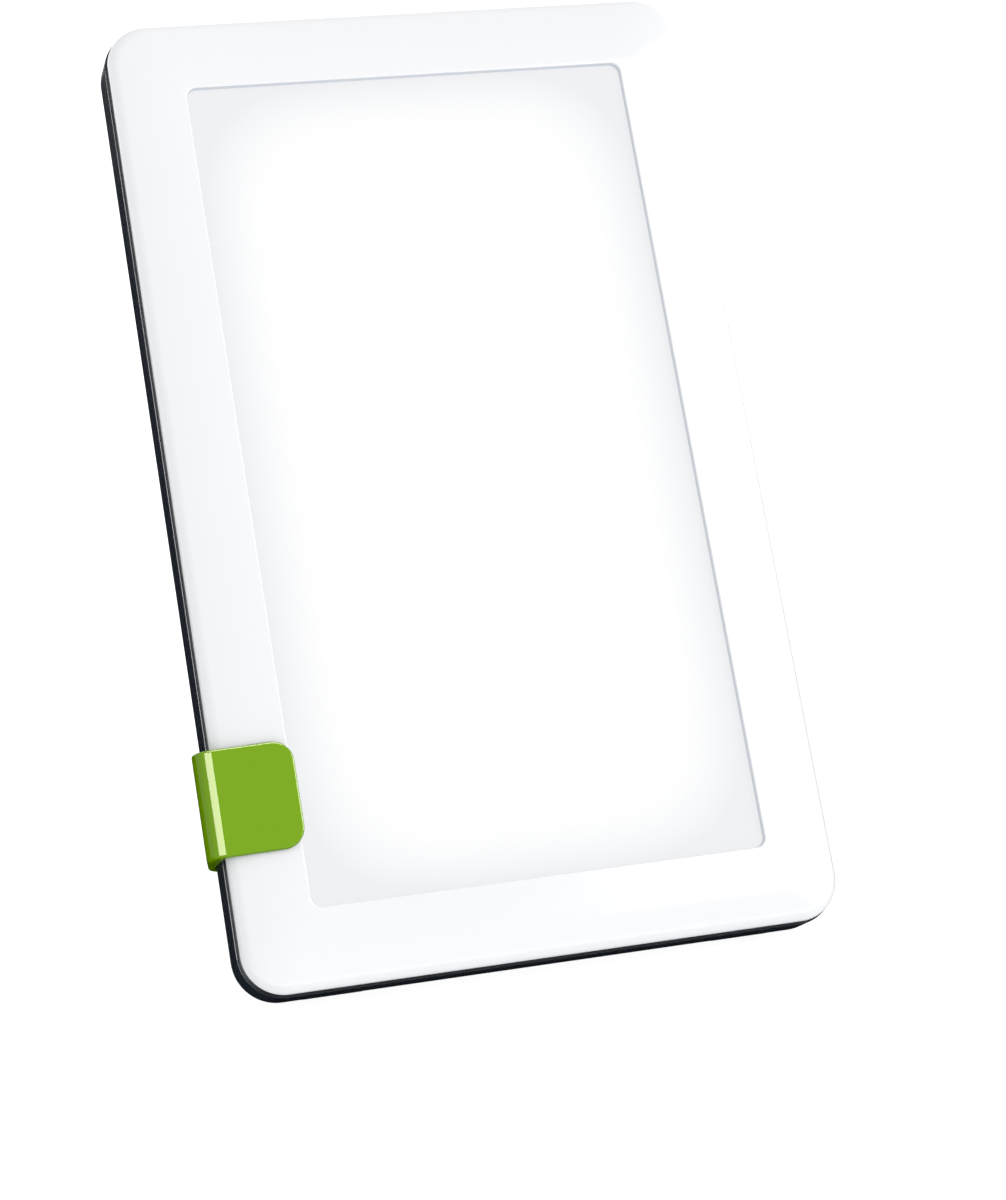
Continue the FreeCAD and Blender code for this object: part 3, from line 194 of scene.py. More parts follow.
# %% [markdown]
# ## A finish
# One function wires the three groups to a Principled shader. Whatever is the same all over the
# surface, such as metal or coat, is typed straight on the shader's own socket.

# %% Finish maker
RELIEF = 0.0001  # metres that a bump stands for


def paler(colour, factor):
    return tuple(min(1.0, value * factor) for value in colour) + (1.0,)


def finish(name, colour, gloss, texture=(4000.0, 0.0), unevenness=0.04, tone_scale=60.0, **sockets):
    material = bpy.data.materials.new(name)
    material.use_nodes = True
    tree = material.node_tree
    shader = tree.nodes["Principled BSDF"]
    place = tree.nodes.new("ShaderNodeTexCoord").outputs["Object"]

    def group_node(group, **values):
        node = tree.nodes.new("ShaderNodeGroup")
        node.node_tree = group
        tree.links.new(place, node.inputs["Place"])
        for label, value in values.items():
            node.inputs[label].default_value = value
        return node

    light, dark = paler(colour, 1 + unevenness), paler(colour, 1 - unevenness)
    tone = group_node(tone_group, Scale=tone_scale, Light=light, Dark=dark)
    tree.links.new(tone.outputs["Color"], shader.inputs["Base Color"])
    shine = group_node(gloss_group, Scale=tone_scale, Cleanest=gloss[0], Dullest=gloss[1])
    tree.links.new(shine.outputs["Roughness"], shader.inputs["Roughness"])
    if texture[1]:
        relief = group_node(texture_group, Scale=texture[0])
        bump = tree.nodes.new("ShaderNodeBump")
        bump.inputs["Strength"].default_value = texture[1]
        bump.inputs["Distance"].default_value = RELIEF
        tree.links.new(relief.outputs["Height"], bump.inputs["Height"])
        tree.links.new(bump.outputs["Normal"], shader.inputs["Normal"])
    for label, value in sockets.items():
        shader.inputs[label.replace("_", " ")].default_value = value
    return material


# %% [markdown]
# ## The finishes
# The bezel is gloss white moulding and the stand the same plastic in lime green, both with a
# hard gloss. The back shell is near-black with the fine spark-eroded texture of its mould.

# %% Plastics and rubbers
white_gloss = finish(
    "white gloss moulding",
    (0.68, 0.69, 0.705),
    (0.08, 0.12),
    (900.0, 0.02),
    0.006,
    Coat_Weight=0.2,
    Coat_Roughness=0.05,
)
green_gloss = finish(
    "lime green moulding",
    (0.083, 0.17, 0.0),
    (0.02, 0.03),
    (1100.0, 0.004),
    0.015,
    Specular_IOR_Level=0.25,
)
anthracite = finish(
    "anthracite textured moulding",
    (0.013, 0.018, 0.026),
    (0.24, 0.30),
    (2600.0, 0.03),
    0.02,
    Specular_IOR_Level=0.4,
)
seal_black = finish("black seal", (0.006, 0.006, 0.007), (0.6, 0.75), (3000.0, 0.2))
foot_black = finish("black foot rubber", (0.016, 0.016, 0.017), (0.62, 0.8), (2600.0, 0.5), 0.1)
button_satin = finish("satin grey button", (0.05, 0.055, 0.065), (0.22, 0.3), (4200.0, 0.15), 0.04)
mark_print = finish("pale printed mark", (0.62, 0.64, 0.66), (0.4, 0.5), (3000.0, 0.1), 0.03)
jack_moulding = finish("black jack moulding", (0.012, 0.012, 0.013), (0.3, 0.42), (3800.0, 0.25), 0.08)
nylon = finish("natural nylon", (0.72, 0.69, 0.6), (0.35, 0.5), (2500.0, 0.2), 0.05)
sheath = finish("soft lead sheath", (0.02, 0.02, 0.022), (0.45, 0.6), (1800.0, 0.25), 0.08)

# %% Metals, boards and light parts
METAL = {"Metallic": 1.0}
aluminium = finish("rolled aluminium", (0.72, 0.73, 0.75), (0.25, 0.42), (1500.0, 0.2), 0.05, **METAL)
zinc = finish("zinc plated steel", (0.42, 0.43, 0.46), (0.22, 0.36), (3000.0, 0.12), 0.12, **METAL)
nickel = finish("nickel plated contact", (0.72, 0.70, 0.65), (0.12, 0.22), (3000.0, 0.05), 0.05, **METAL)
solder_mask = finish("green solder mask", (0.012, 0.11, 0.05), (0.2, 0.3), (1400.0, 0.15), 0.12)
epoxy = finish("black moulded epoxy", (0.018, 0.018, 0.019), (0.4, 0.55), (5000.0, 0.3), 0.06)
ferrite = finish("sintered ferrite", (0.035, 0.035, 0.038), (0.5, 0.65), (3500.0, 0.5), 0.15)
strip_white = finish("white coated strip", (0.8, 0.8, 0.76), (0.3, 0.42), (2000.0, 0.12), 0.03)
phosphor = finish("phosphor resin", (0.9, 0.72, 0.2), (0.3, 0.4), (3000.0, 0.1), 0.05)
white_film = finish("white film", (0.88, 0.88, 0.88), (0.4, 0.5), (2200.0, 0.1), 0.02)
clear_film = finish("prismatic film", (0.82, 0.86, 0.9), (0.12, 0.2), (2200.0, 0.1), 0.02)
acrylic = finish("clear acrylic", (0.84, 0.91, 0.93), (0.04, 0.08), (1500.0, 0.04), 0.02)
print("finishes:", len(bpy.data.materials))

# %% [markdown]
# ## The lit screen
# The opal screen glows evenly in the middle and falls off a little towards its edges and most
# in its corners, where the light from the two strips has the least to add. The distance to a
# rounded rectangle, measured in the panel's own axes, gives that fall-off.

# %% Screen finish
GLOW_X, GLOW_Z, GLOW_POWER_X, GLOW_POWER_Z, EVEN_UNTIL = 54.9, 100.0, 4.0, 8.0, 0.1
MIDDLE_GLOW, EDGE_GLOW = (0.96, 0.96, 0.96), (0.79, 0.80, 0.82)


def math_node(tree, operation, first, second=None):
    node = tree.nodes.new("ShaderNodeMath")
    node.operation = operation
    for socket, value in zip(node.inputs, (first, second)):
        if isinstance(value, (int, float)):
            socket.default_value = value
        elif value is not None:
            tree.links.new(value, socket)
    return node.outputs[0]


def panel_place(tree):
    """The point that is shaded, along the panel's own directions, in metres."""
    mapping = tree.nodes.new("ShaderNodeMapping")
    back = TURN.inverted()
    mapping.inputs["Rotation"].default_value = back.to_euler()
    mapping.inputs["Location"].default_value = -(back @ ORIGIN)
    tree.links.new(tree.nodes.new("ShaderNodeTexCoord").outputs["Object"], mapping.inputs["Vector"])
    split = tree.nodes.new("ShaderNodeSeparateXYZ")
    tree.links.new(mapping.outputs["Vector"], split.inputs["Vector"])
    return split.outputs


def glowing_screen():
    material = bpy.data.materials.new("opal screen, lit")
    material.use_nodes = True
    tree = material.node_tree
    shader = tree.nodes["Principled BSDF"]
    x, _, z = panel_place(tree)
    across = math_node(tree, "DIVIDE", math_node(tree, "ABSOLUTE", x), GLOW_X * MM)
    along = math_node(tree, "DIVIDE", math_node(tree, "ABSOLUTE", z), GLOW_Z * MM)
    across_power = math_node(tree, "POWER", across, GLOW_POWER_X)
    along_power = math_node(tree, "POWER", along, GLOW_POWER_Z)
    sum_of_powers = math_node(tree, "ADD", across_power, along_power)
    ramp = tree.nodes.new("ShaderNodeValToRGB")
    stops = ((0.0, MIDDLE_GLOW), (EVEN_UNTIL, MIDDLE_GLOW), (1.0, EDGE_GLOW))
    ramp.color_ramp.elements.new(0.5)
    for element, (position, colour) in zip(ramp.color_ramp.elements, stops):
        element.position = position
        element.color = colour + (1,)
    tree.links.new(sum_of_powers, ramp.inputs["Fac"])
    tree.links.new(ramp.outputs["Color"], shader.inputs["Emission Color"])
    shader.inputs["Emission Strength"].default_value = 1.0
    shader.inputs["Base Color"].default_value = (0.04, 0.04, 0.04, 1)
    shader.inputs["Roughness"].default_value = 0.45
    shader.inputs["Specular IOR Level"].default_value = 0.25
    return material


opal = glowing_screen()
print("screen glow", GLOW_X, "by", GLOW_Z)

# %% [markdown]
# ## Painted shade on the opening's wall
# The short wall between the bezel's lip and the screen is painted a darker grey in its base
# colour: painted shade, standing in for the shade of this recess. It is part of the white
# moulding, so the painted shade comes from where a point lies: inside the opening and behind
# the lip.

# %% Painted shade on the opening's wall
WALL_PAINTED_SHADE, WALL_X, WALL_Z, WALL_FROM = (0.50, 0.54, 0.58, 1), 55.16, 100.26, -5.86


def paint_shade_on_wall(material):
    tree = material.node_tree
    shader = tree.nodes["Principled BSDF"]
    plain = shader.inputs["Base Color"].links[0].from_socket
    x, y, z = panel_place(tree)
    inside = math_node(
        tree,
        "MULTIPLY",
        math_node(tree, "LESS_THAN", math_node(tree, "ABSOLUTE", x), WALL_X * MM),
        math_node(tree, "LESS_THAN", math_node(tree, "ABSOLUTE", z), WALL_Z * MM),
    )
    # Painted shade: the wall's base colour is darkened here, standing in for the shade in the recess
    # behind the lip.
    on_wall = math_node(tree, "MULTIPLY", inside, math_node(tree, "GREATER_THAN", y, WALL_FROM * MM))
    mix = tree.nodes.new("ShaderNodeMix")
    mix.data_type = "RGBA"
    tree.links.new(on_wall, mix.inputs["Factor"])
    tree.links.new(plain, mix.inputs[6])
    mix.inputs[7].default_value = WALL_PAINTED_SHADE
    tree.links.new(mix.outputs[2], shader.inputs["Base Color"])


paint_shade_on_wall(white_gloss)

# %% [markdown]
# ## Building meshes in the panel's frame
# Most mouldings here are rounded rectangles that change size from row to row, like the layers
# of a printed part. A row is a closed loop of points; skinning joins row to row with quads.
# Because every row has the same number of points, the quads stay clean round the corners,
# which is what a gloss surface needs for quiet reflections.

# %% Rows and skins
CORNER_STEPS = 20
WELD = 1e-4  # points closer than this, in a mesh's own units, become one


def quarter(steps):
    """Angles from zero to a right angle, in equal steps."""
    return [math.radians(90 * step / steps) for step in range(steps + 1)]


def rounded_row(half_x, half_z, radius, y):
    points = []
    for corner, (side_x, side_z) in enumerate(((1, 1), (-1, 1), (-1, -1), (1, -1))):
        for step in range(CORNER_STEPS + 1):
            angle = math.radians(90 * (corner + step / CORNER_STEPS))
            x = side_x * (half_x - radius) + radius * math.cos(angle)
            z = side_z * (half_z - radius) + radius * math.sin(angle)
            points.append((x, y, z))
    return points


def skin(mesh, rows, closed=False, cap_start=False, cap_end=False):
    rings = [[mesh.verts.new(point) for point in row] for row in rows]
    following = rings[1:] + rings[:1] if closed else rings[1:]
    for ring, other in zip(rings, following):
        for at in range(len(ring)):
            after = (at + 1) % len(ring)
            mesh.faces.new((ring[at], ring[after], other[after], other[at]))
    if cap_start:
        mesh.faces.new(rings[0])
    if cap_end:
        mesh.faces.new(rings[-1])


def to_object(mesh, name, transform=PANEL):
    """Turns the mesh outwards, puts it in its place and makes an object of it."""
    bmesh.ops.remove_doubles(mesh, verts=mesh.verts, dist=WELD)
    bmesh.ops.recalc_face_normals(mesh, faces=mesh.faces)
    data = bpy.data.meshes.new(name)
    mesh.to_mesh(data)
    mesh.free()
    data.transform(transform)
    made = bpy.data.objects.new(name, data)
    bpy.context.scene.collection.objects.link(made)
    return made


def settle(made, modifiers=()):
    """Bakes modifiers into the mesh, so that the object is a plain mesh at the origin."""
    for kind, values in modifiers:
        modifier = made.modifiers.new(kind.lower(), kind)
        for key, value in values.items():
            setattr(modifier, key, value)
    graph = bpy.context.evaluated_depsgraph_get()
    data = bpy.data.meshes.new_from_object(made.evaluated_get(graph))
    made.modifiers.clear()
    made.data = data
    return made


SHARP, NORMAL_WEIGHT = math.radians(38), 80


def place_piece(made, body, stands_for, material, smooth=True):
    """Gives a finished piece its smooth shading, its finish and its body."""
    if smooth:
        made.data.shade_smooth()
        made.data.set_sharp_from_angle(angle=SHARP)
        settle(made, [("WEIGHTED_NORMAL", {"keep_sharp": True, "weight": NORMAL_WEIGHT})])
    made.data.materials.clear()
    made.data.materials.append(material)
    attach(made, body)
    if stands_for:
        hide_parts(*stands_for)
    print(made.name, "faces", len(made.data.polygons))
    return made


# %% [markdown]
# ## The bezel
# The white front frame is a crowned moulding: a tight rounding at the rim and then a long flat
# arch that ends level at the lip. Behind the rim the wall draws in, so that the joint to the
# shell stays dark. All round, its corners tighten from ten millimetres at the rim to two and a
# half at the opening. The cross-section is written as a list of rows, outside first, then down
# the opening and back behind the wall, and the last row joins the first.

# %% Bezel's crown
BEZEL_X, BEZEL_Z, BEZEL_CORNER = 72.05, 118.15, 10.0
OPENING_X, OPENING_Z, OPENING_CORNER = 54.9, 100.0, 2.5
RISE, EDGE_WALL, EDGE_R = 6.1, 1.2, 3.2
FACE = BEZEL_X - OPENING_X
CROWN_LIFT, CROWN_REACH = RISE - EDGE_WALL, FACE - EDGE_R
CROWN_R = (CROWN_REACH**2 + CROWN_LIFT**2 - EDGE_R**2) / (2 * (CROWN_LIFT - EDGE_R))
CROWN_SLOPE = math.asin(CROWN_REACH / (CROWN_R - EDGE_R))


def crown(along, offset=0.0):
    """Inset and height of the face: 0 at the rim, 1 where the rounding ends, 2 at the lip."""
    if along <= 1:
        turn = along * (math.pi / 2 - CROWN_SLOPE)
        reach = EDGE_R + offset
        return EDGE_R - reach * math.cos(turn), EDGE_WALL + reach * math.sin(turn)
    turn = (2 - along) * CROWN_SLOPE
    reach = CROWN_R + offset
    return FACE - reach * math.sin(turn), RISE - CROWN_R + reach * math.cos(turn)


def face_row(inset, height):
    share = inset / FACE
    return rounded_row(
        BEZEL_X - inset,
        BEZEL_Z - share * (BEZEL_Z - OPENING_Z),
        BEZEL_CORNER + share * (OPENING_CORNER - BEZEL_CORNER),
        -height,
    )


print("crown radius", round(CROWN_R, 2), "slope", round(math.degrees(CROWN_SLOPE), 2))

# %% Bezel's rows
SEAM, WALL = 0.25, 1.8
UNDERCUT = ((0.45, -SEAM), (0.05, -1.0), (0.0, -1.12))
LIP_BEVEL, LIP_BACK, LIP_DRAFT, LIP_EDGE = 0.3, -4.8, 0.15, 0.1
POCKET_X, POCKET_Z, POCKET_BACK, POCKET_CORNER, RIB = 58.05, 103.15, -2.0, 0.3, 1.2
ROUNDING_STEPS, ARCH_STEPS = 12, 14


def rim_row(inset, y):
    """A row that runs along the bezel's rim, some way inside it."""
    return rounded_row(BEZEL_X - inset, BEZEL_Z - inset, BEZEL_CORNER - inset, y)


def bezel_rows():
    rows = [rim_row(inset, y) for inset, y in UNDERCUT]
    rows += [face_row(*crown(step / ROUNDING_STEPS)) for step in range(ROUNDING_STEPS + 1)]
    last = 2 - math.asin(LIP_BEVEL / CROWN_R) / CROWN_SLOPE
    rows += [
        face_row(*crown(1 + (last - 1) * step / ARCH_STEPS)) for step in range(1, ARCH_STEPS + 1)
    ]
    rows += [
        face_row(FACE - LIP_BEVEL * (1 - math.sin(a)), RISE - LIP_BEVEL * (1 - math.cos(a)))
        for a in quarter(5)[1:]
    ]
    rows += [
        rounded_row(OPENING_X - draw, OPENING_Z - draw, OPENING_CORNER, y)
        for draw, y in ((LIP_DRAFT, LIP_BACK + LIP_EDGE), (LIP_EDGE, LIP_BACK))
    ]
    ceiling = -(crown(1)[1] - WALL)
    pocket = ((0, LIP_BACK), (0, POCKET_BACK), (RIB, POCKET_BACK), (RIB, ceiling))
    rows += [rounded_row(POCKET_X + out, POCKET_Z + out, POCKET_CORNER, y) for out, y in pocket]
    inside = ((EDGE_R, ceiling), (EDGE_R, -EDGE_WALL), (WALL, -EDGE_WALL), (WALL, -SEAM))
    return rows + [rim_row(inset, y) for inset, y in inside]


mesh = bmesh.new()
skin(mesh, bezel_rows(), closed=True)
bezel = to_object(mesh, "bezel_moulding")
print("bezel rows", len(bezel_rows()), "faces", len(bezel.data.polygons))

# %% [markdown]
# ## Trees of Geometry Nodes
# What repeats, or follows a path, is grown by a small tree of nodes instead of being modelled
# bar by bar. A tree has named inputs for its sizes. The modifier is fed through each socket's
# identifier, the result is kept as a plain mesh and is then stood in its place.

# %% Tree helpers
def geometry_tree(name, inputs):
    tree = bpy.data.node_groups.new(name, "GeometryNodeTree")
    for label, kind, value in inputs:
        socket = tree.interface.new_socket(label, in_out="INPUT", socket_type=kind)
        if value is not None:
            socket.default_value = value
    tree.interface.new_socket("Geometry", in_out="OUTPUT", socket_type="NodeSocketGeometry")
    return tree, tree.nodes.new("NodeGroupInput"), tree.nodes.new("NodeGroupOutput")


def wired(tree, kind, links=(), **settings):
    """Adds a node, sets its properties and links or fills its inputs by name or number."""
    node = tree.nodes.new(kind)
    for key, value in settings.items():
        setattr(node, key, value)
    for socket, value in links:
        target = node.inputs[socket]
        if isinstance(value, bpy.types.NodeSocket):
            tree.links.new(value, target)
        else:
            target.default_value = value
    return node.outputs[0]


def arithmetic(tree, operation, first, second):
    return wired(tree, "ShaderNodeMath", [(0, first), (1, second)], operation=operation)


def close_tree(tree, geometry, finish_socket, out):
    realised = wired(tree, "GeometryNodeRealizeInstances", [("Geometry", geometry)])
    painted = wired(
        tree, "GeometryNodeSetMaterial", [("Geometry", realised), ("Material", finish_socket)]
    )
    tree.links.new(painted, out.inputs["Geometry"])


def grown(name, tree, transform=PANEL, **values):
    """Runs a tree, keeps its result as a plain mesh and stands it in its place."""
    made = bpy.data.objects.new(name, bpy.data.meshes.new(name))
    bpy.context.scene.collection.objects.link(made)
    modifier = made.modifiers.new("grow", "NODES")
    modifier.node_group = tree
    for item in tree.interface.items_tree:
        label = item.name.replace(" ", "_")
        if item.in_out == "INPUT" and label in values:
            modifier[item.identifier] = values[label]
    settle(made)
    made.data.transform(transform)
    return made


# %% [markdown]
# ## The seal
# A black rubber cord lies deep in the joint between bezel and shell and keeps dust and light out.
# It is one profile swept along one path: a rounded rectangle along a larger rounded rectangle.

# %% Seal's tree
seal_tree, given, out = geometry_tree(
    "swept seal",
    [
        ("Width", "NodeSocketFloat", 1.0),
        ("Height", "NodeSocketFloat", 1.0),
        ("Corner", "NodeSocketFloat", 1.0),
        ("Thickness", "NodeSocketFloat", 1.0),
        ("Depth", "NodeSocketFloat", 1.0),
        ("Rounding", "NodeSocketFloat", 0.1),
        ("Finish", "NodeSocketMaterial", None),
    ],
)


def rounded_curve(tree, width, height, radius, count):
    """A rectangle of curve with rounded corners."""
    sizes = [("Width", width), ("Height", height)]
    rectangle = wired(tree, "GeometryNodeCurvePrimitiveQuadrilateral", sizes, mode="RECTANGLE")
    fillet = [("Curve", rectangle), ("Radius", radius), ("Count", count)]
    return wired(tree, "GeometryNodeFilletCurve", fillet, mode="POLY")


PATH_STEPS, PROFILE_STEPS = 16, 3
path_sizes = [given.outputs[label] for label in ("Width", "Height", "Corner")]
path = rounded_curve(seal_tree, *path_sizes, PATH_STEPS)
profile_sizes = [given.outputs[label] for label in ("Thickness", "Depth", "Rounding")]
profile = rounded_curve(seal_tree, *profile_sizes, PROFILE_STEPS)
swept = wired(seal_tree, "GeometryNodeCurveToMesh", [("Curve", path), ("Profile Curve", profile)])
close_tree(seal_tree, swept, given.outputs["Finish"], out)

# %% Seal
seal_low, seal_high = panel_box("seam_ring")
SEAL_T, SEAL_CORNER, STAND_UP = 1.2, 9.5, Matrix.Rotation(math.radians(90), 4, "X")
seal = grown(
    "seal_cord",
    seal_tree,
    PANEL @ STAND_UP,
    Width=seal_high.x - seal_low.x - SEAL_T,
    Height=seal_high.z - seal_low.z - SEAL_T,
    Corner=SEAL_CORNER - SEAL_T / 2,
    Thickness=SEAL_T,
    Depth=seal_high.y - seal_low.y,
    Rounding=0.12,
)
place_piece(seal, "lamp", ["seam_ring"], seal_black)

# %% [markdown]
# ## Boolean helpers
# Holes, bosses and ribs are added to a moulding as a maker adds them to the drawing: simple
# closed forms, joined to it or cut from it. The exact solver keeps every edge crisp.

# %% Forms and booleans
def turned(mesh, centre, axis, profile, steps=48, closed=False):
    """Adds a turned form: profile lists (distance along the axis, radius), closed for a ring."""
    rows = []
    for along, radius in profile:
        row = []
        for step in range(steps):
            angle = 2 * math.pi * step / steps
            first, second = radius * math.cos(angle), radius * math.sin(angle)
            if axis == "Y":
                row.append((centre[0] + first, along, centre[1] + second))
            else:
                row.append((along, centre[0] + first, centre[1] + second))
        rows.append(row)
    skin(mesh, rows, closed=closed, cap_start=not closed, cap_end=not closed)


def box_form(mesh, x0, x1, y0, y1, z0, z1):
    rows = [[(x0, y, z0), (x1, y, z0), (x1, y, z1), (x0, y, z1)] for y in (y0, y1)]
    skin(mesh, rows, cap_start=True, cap_end=True)


def combine(made, other, operation):
    """Joins or cuts with another object, which is used up."""
    modifier = made.modifiers.new("boolean", "BOOLEAN")
    modifier.object = other
    modifier.operation = operation
    modifier.solver = "EXACT"
    settle(made)
    bpy.data.objects.remove(other)
    return made


# %% [markdown]
# ## The bezel's posts
# Six round posts stand behind the crown. The closing screws bite into four of them, and the
# other two keep the long frame from bowing.

# %% Posts with pilot holes
SCREW_X, SCREW_Z, SCREW_SEAT = 64.75, 98.15, 6.0
POST_R, POST_ROOT, POST_TIP, POST_EDGE, DRAFT = 2.8, -3.4, -0.1, 0.2, 0.1
PILOT_R, PILOT_ROOT, STAY_Z, STAY_R = 1.25, -3.2, 106.4, 2.55
corners = [(side * SCREW_X, end * SCREW_Z) for side in (-1, 1) for end in (-1, 1)]
post = [(POST_ROOT, POST_R + DRAFT), (POST_TIP - POST_EDGE, POST_R), (POST_TIP, POST_R - POST_EDGE)]
mesh = bmesh.new()
for place in corners:
    turned(mesh, place, "Y", post)
for end in (-1, 1):
    turned(mesh, (0, end * STAY_Z), "Y", [(POST_ROOT, STAY_R + DRAFT), (POST_TIP, STAY_R)])
combine(bezel, to_object(mesh, "posts"), "UNION")
mesh = bmesh.new()
for place in corners:
    turned(mesh, place, "Y", [(PILOT_ROOT, PILOT_R), (POST_TIP + POST_EDGE, PILOT_R)])
combine(bezel, to_object(mesh, "pilot_holes"), "DIFFERENCE")
place_piece(bezel, "lamp", ["front_bezel"], white_gloss)

# %% [markdown]
# ## A row of bars
# Ribs, grooves and treads are all the same thing: a bar, repeated at an even pitch. One tree
# makes them, and a boolean then joins the row to a moulding or cuts it out of one.

# %% Bars' tree
bars_tree, given, out = geometry_tree(
    "row of bars",
    [
        ("Count", "NodeSocketInt", 3),
        ("Pitch", "NodeSocketFloat", 1.0),
        ("Length", "NodeSocketFloat", 1.0),
        ("Depth", "NodeSocketFloat", 1.0),
        ("Thickness", "NodeSocketFloat", 1.0),
        ("Finish", "NodeSocketMaterial", None),
    ],
)
gaps = arithmetic(bars_tree, "SUBTRACT", given.outputs["Count"], 1.0)
span = arithmetic(bars_tree, "MULTIPLY", gaps, given.outputs["Pitch"])
first = arithmetic(bars_tree, "MULTIPLY", span, -0.5)
line = wired(
    bars_tree,
    "GeometryNodeMeshLine",
    [
        ("Count", given.outputs["Count"]),
        ("Start Location", wired(bars_tree, "ShaderNodeCombineXYZ", [("Z", first)])),
        ("Offset", wired(bars_tree, "ShaderNodeCombineXYZ", [("Z", given.outputs["Pitch"])])),
    ],
)
bar_sides = zip("XYZ", (given.outputs[label] for label in ("Length", "Depth", "Thickness")))
bar_size = wired(bars_tree, "ShaderNodeCombineXYZ", bar_sides)
bar = wired(bars_tree, "GeometryNodeMeshCube", [("Size", bar_size)])
bars = wired(bars_tree, "GeometryNodeInstanceOnPoints", [("Points", line), ("Instance", bar)])
close_tree(bars_tree, bars, given.outputs["Finish"], out)


def bars_at(name, middle, quarter_turn, **sizes):
    """A row of bars, along Z or after a quarter turn along X, around a middle in the panel."""
    turn = Matrix.Rotation(math.radians(90), 4, "Y") if quarter_turn else Matrix()
    return grown(name, bars_tree, PANEL @ Matrix.Translation(middle) @ turn, **sizes)


# %% [markdown]
# ## The back shell
# The dark shell is a moulded tub. It stands proud of the bezel all round by less than half a
# millimetre, its rear edge is generously rounded, and a thin lip reaches into the bezel. Its
# front rim is a fine ledge that falls outwards, with a groove inside it that keeps the joint dark.
# The rows run from the lip's inside over the rim and round the back; the bosses that hold the
# closing screws, the collar round the button and the sleeve of the power inlet are joined on
# before their holes are cut, so that each hole has its wall.

# %% Shell's tub
SHELL_X, SHELL_Z, SHELL_CORNER = 72.5, 118.6, 10.45
BACK, INNER_BACK, REAR_R, RIM_BACK = 13.9, 12.1, 4.5, 2.2
LIP_INSET, LIP_WALL, LIP_FRONT = 1.95, 1.1, -1.1
GROOVE_IN, GROOVE_OUT, GROOVE_FLOOR = 0.95, 0.2, 2.0
LEDGE, LEDGE_EDGE, LEDGE_FALL = 1.2, 0.03, ((0.03, 0.06), (0.01, 0.09), (0.0, 0.13))


def shell_row(inset, y):
    return rounded_row(SHELL_X - inset, SHELL_Z - inset, max(SHELL_CORNER - inset, 0.5), y)


outside = [(GROOVE_IN, SEAM), (GROOVE_IN, GROOVE_FLOOR), (GROOVE_OUT, GROOVE_FLOOR)]
outside += [(GROOVE_OUT, LEDGE + LEDGE_EDGE), (GROOVE_OUT - LEDGE_EDGE, LEDGE)]
outside += [(inset, LEDGE + fall) for inset, fall in LEDGE_FALL]
outside += [
    (REAR_R * (1 - math.cos(a)), BACK - REAR_R + REAR_R * math.sin(a)) for a in quarter(12)
]
chamfer = (REAR_R - WALL) * math.sqrt(0.5)
rows = [shell_row(WALL + chamfer, INNER_BACK)]
rows += [shell_row(WALL, INNER_BACK - chamfer), shell_row(WALL, RIM_BACK)]
rows += [rim_row(LIP_INSET + LIP_WALL, RIM_BACK), rim_row(LIP_INSET + LIP_WALL, LIP_FRONT)]
rows += [rim_row(LIP_INSET, LIP_FRONT), rim_row(LIP_INSET, SEAM)]
rows += [shell_row(inset, y) for inset, y in outside]
mesh = bmesh.new()
skin(mesh, rows, cap_start=True, cap_end=True)
shell = to_object(mesh, "back_shell_moulding")
print("shell rows", len(rows))

# %% Shell's ribs
RIB_TOP, RIB_ROOT, RIB_T, INTO_WALL = 9.9, 12.6, 1.2, 0.1
rib_middle = (0, (RIB_TOP + RIB_ROOT) / 2, 0)
for name, quarter_turn, count, pitch, reach in (
    ("columns", True, 3, 36.0, SHELL_Z),
    ("rows", False, 4, 40.0, SHELL_X),
):
    ribs = bars_at(
        name,
        rib_middle,
        quarter_turn,
        Count=count,
        Pitch=pitch,
        Length=2 * (reach - WALL + INTO_WALL),
        Depth=RIB_ROOT - RIB_TOP,
        Thickness=RIB_T,
    )
    combine(shell, ribs, "UNION")
print("ribbed shell faces", len(shell.data.polygons))

# %% Places that the shell's bosses carry
BUTTON_X, BUTTON_Z = 38.05, 88.15
JACK_Y, JACK_Z, JACK_MOUTH = 5.2, -78.15, 69.0
board_low, board_high = panel_box("control_board")
tray_back = panel_box("heat_tray")[1].y
BOARD_INSET, BOARD_BOSS_R, TRAY_POST_R, TRAY_POST_X, TRAY_POST_Z = 3.6, 2.3, 2.5, 32.0, 84.0
board_places = [
    (x, z)
    for x in (board_low.x + BOARD_INSET, board_high.x - BOARD_INSET)
    for z in (board_low.z + BOARD_INSET, board_high.z - BOARD_INSET)
]
tray_places = [(-TRAY_POST_X, -TRAY_POST_Z), (-TRAY_POST_X, TRAY_POST_Z), (0, 0)]
print("board", list(board_low), list(board_high), "tray back", tray_back)

# %% Shell's bosses, collar and sleeve
CASE_BOSS_R, CASE_BOSS_TOP, CASE_BOSS_EDGE, BOSS_ROOT, TRAY_GAP = 4.4, 0.3, 0.1, 12.8, 0.1
COLLAR_R, COLLAR_TOP, SLEEVE_R, SLEEVE_END = 8.75, 9.5, 4.9, 71.6
SMALL_STEPS, COLLAR_STEPS = 32, 64
case_boss = [
    (CASE_BOSS_TOP, CASE_BOSS_R - CASE_BOSS_EDGE),
    (CASE_BOSS_TOP + CASE_BOSS_EDGE, CASE_BOSS_R),
    (BOSS_ROOT, CASE_BOSS_R),
]
small_bosses = (
    (board_places, board_high.y, BOARD_BOSS_R),
    (tray_places, tray_back + TRAY_GAP, TRAY_POST_R),
)
mesh = bmesh.new()
for place in corners:
    turned(mesh, place, "Y", case_boss)
for places, top, radius in small_bosses:
    for place in places:
        turned(mesh, place, "Y", [(top, radius), (BOSS_ROOT, radius + DRAFT)], SMALL_STEPS)
collar = [(COLLAR_TOP, COLLAR_R), (BOSS_ROOT, COLLAR_R)]
turned(mesh, (BUTTON_X, BUTTON_Z), "Y", collar, COLLAR_STEPS)
turned(mesh, (JACK_Y, JACK_Z), "X", [(JACK_MOUTH, SLEEVE_R), (SLEEVE_END, SLEEVE_R)])
combine(shell, to_object(mesh, "bosses"), "UNION")

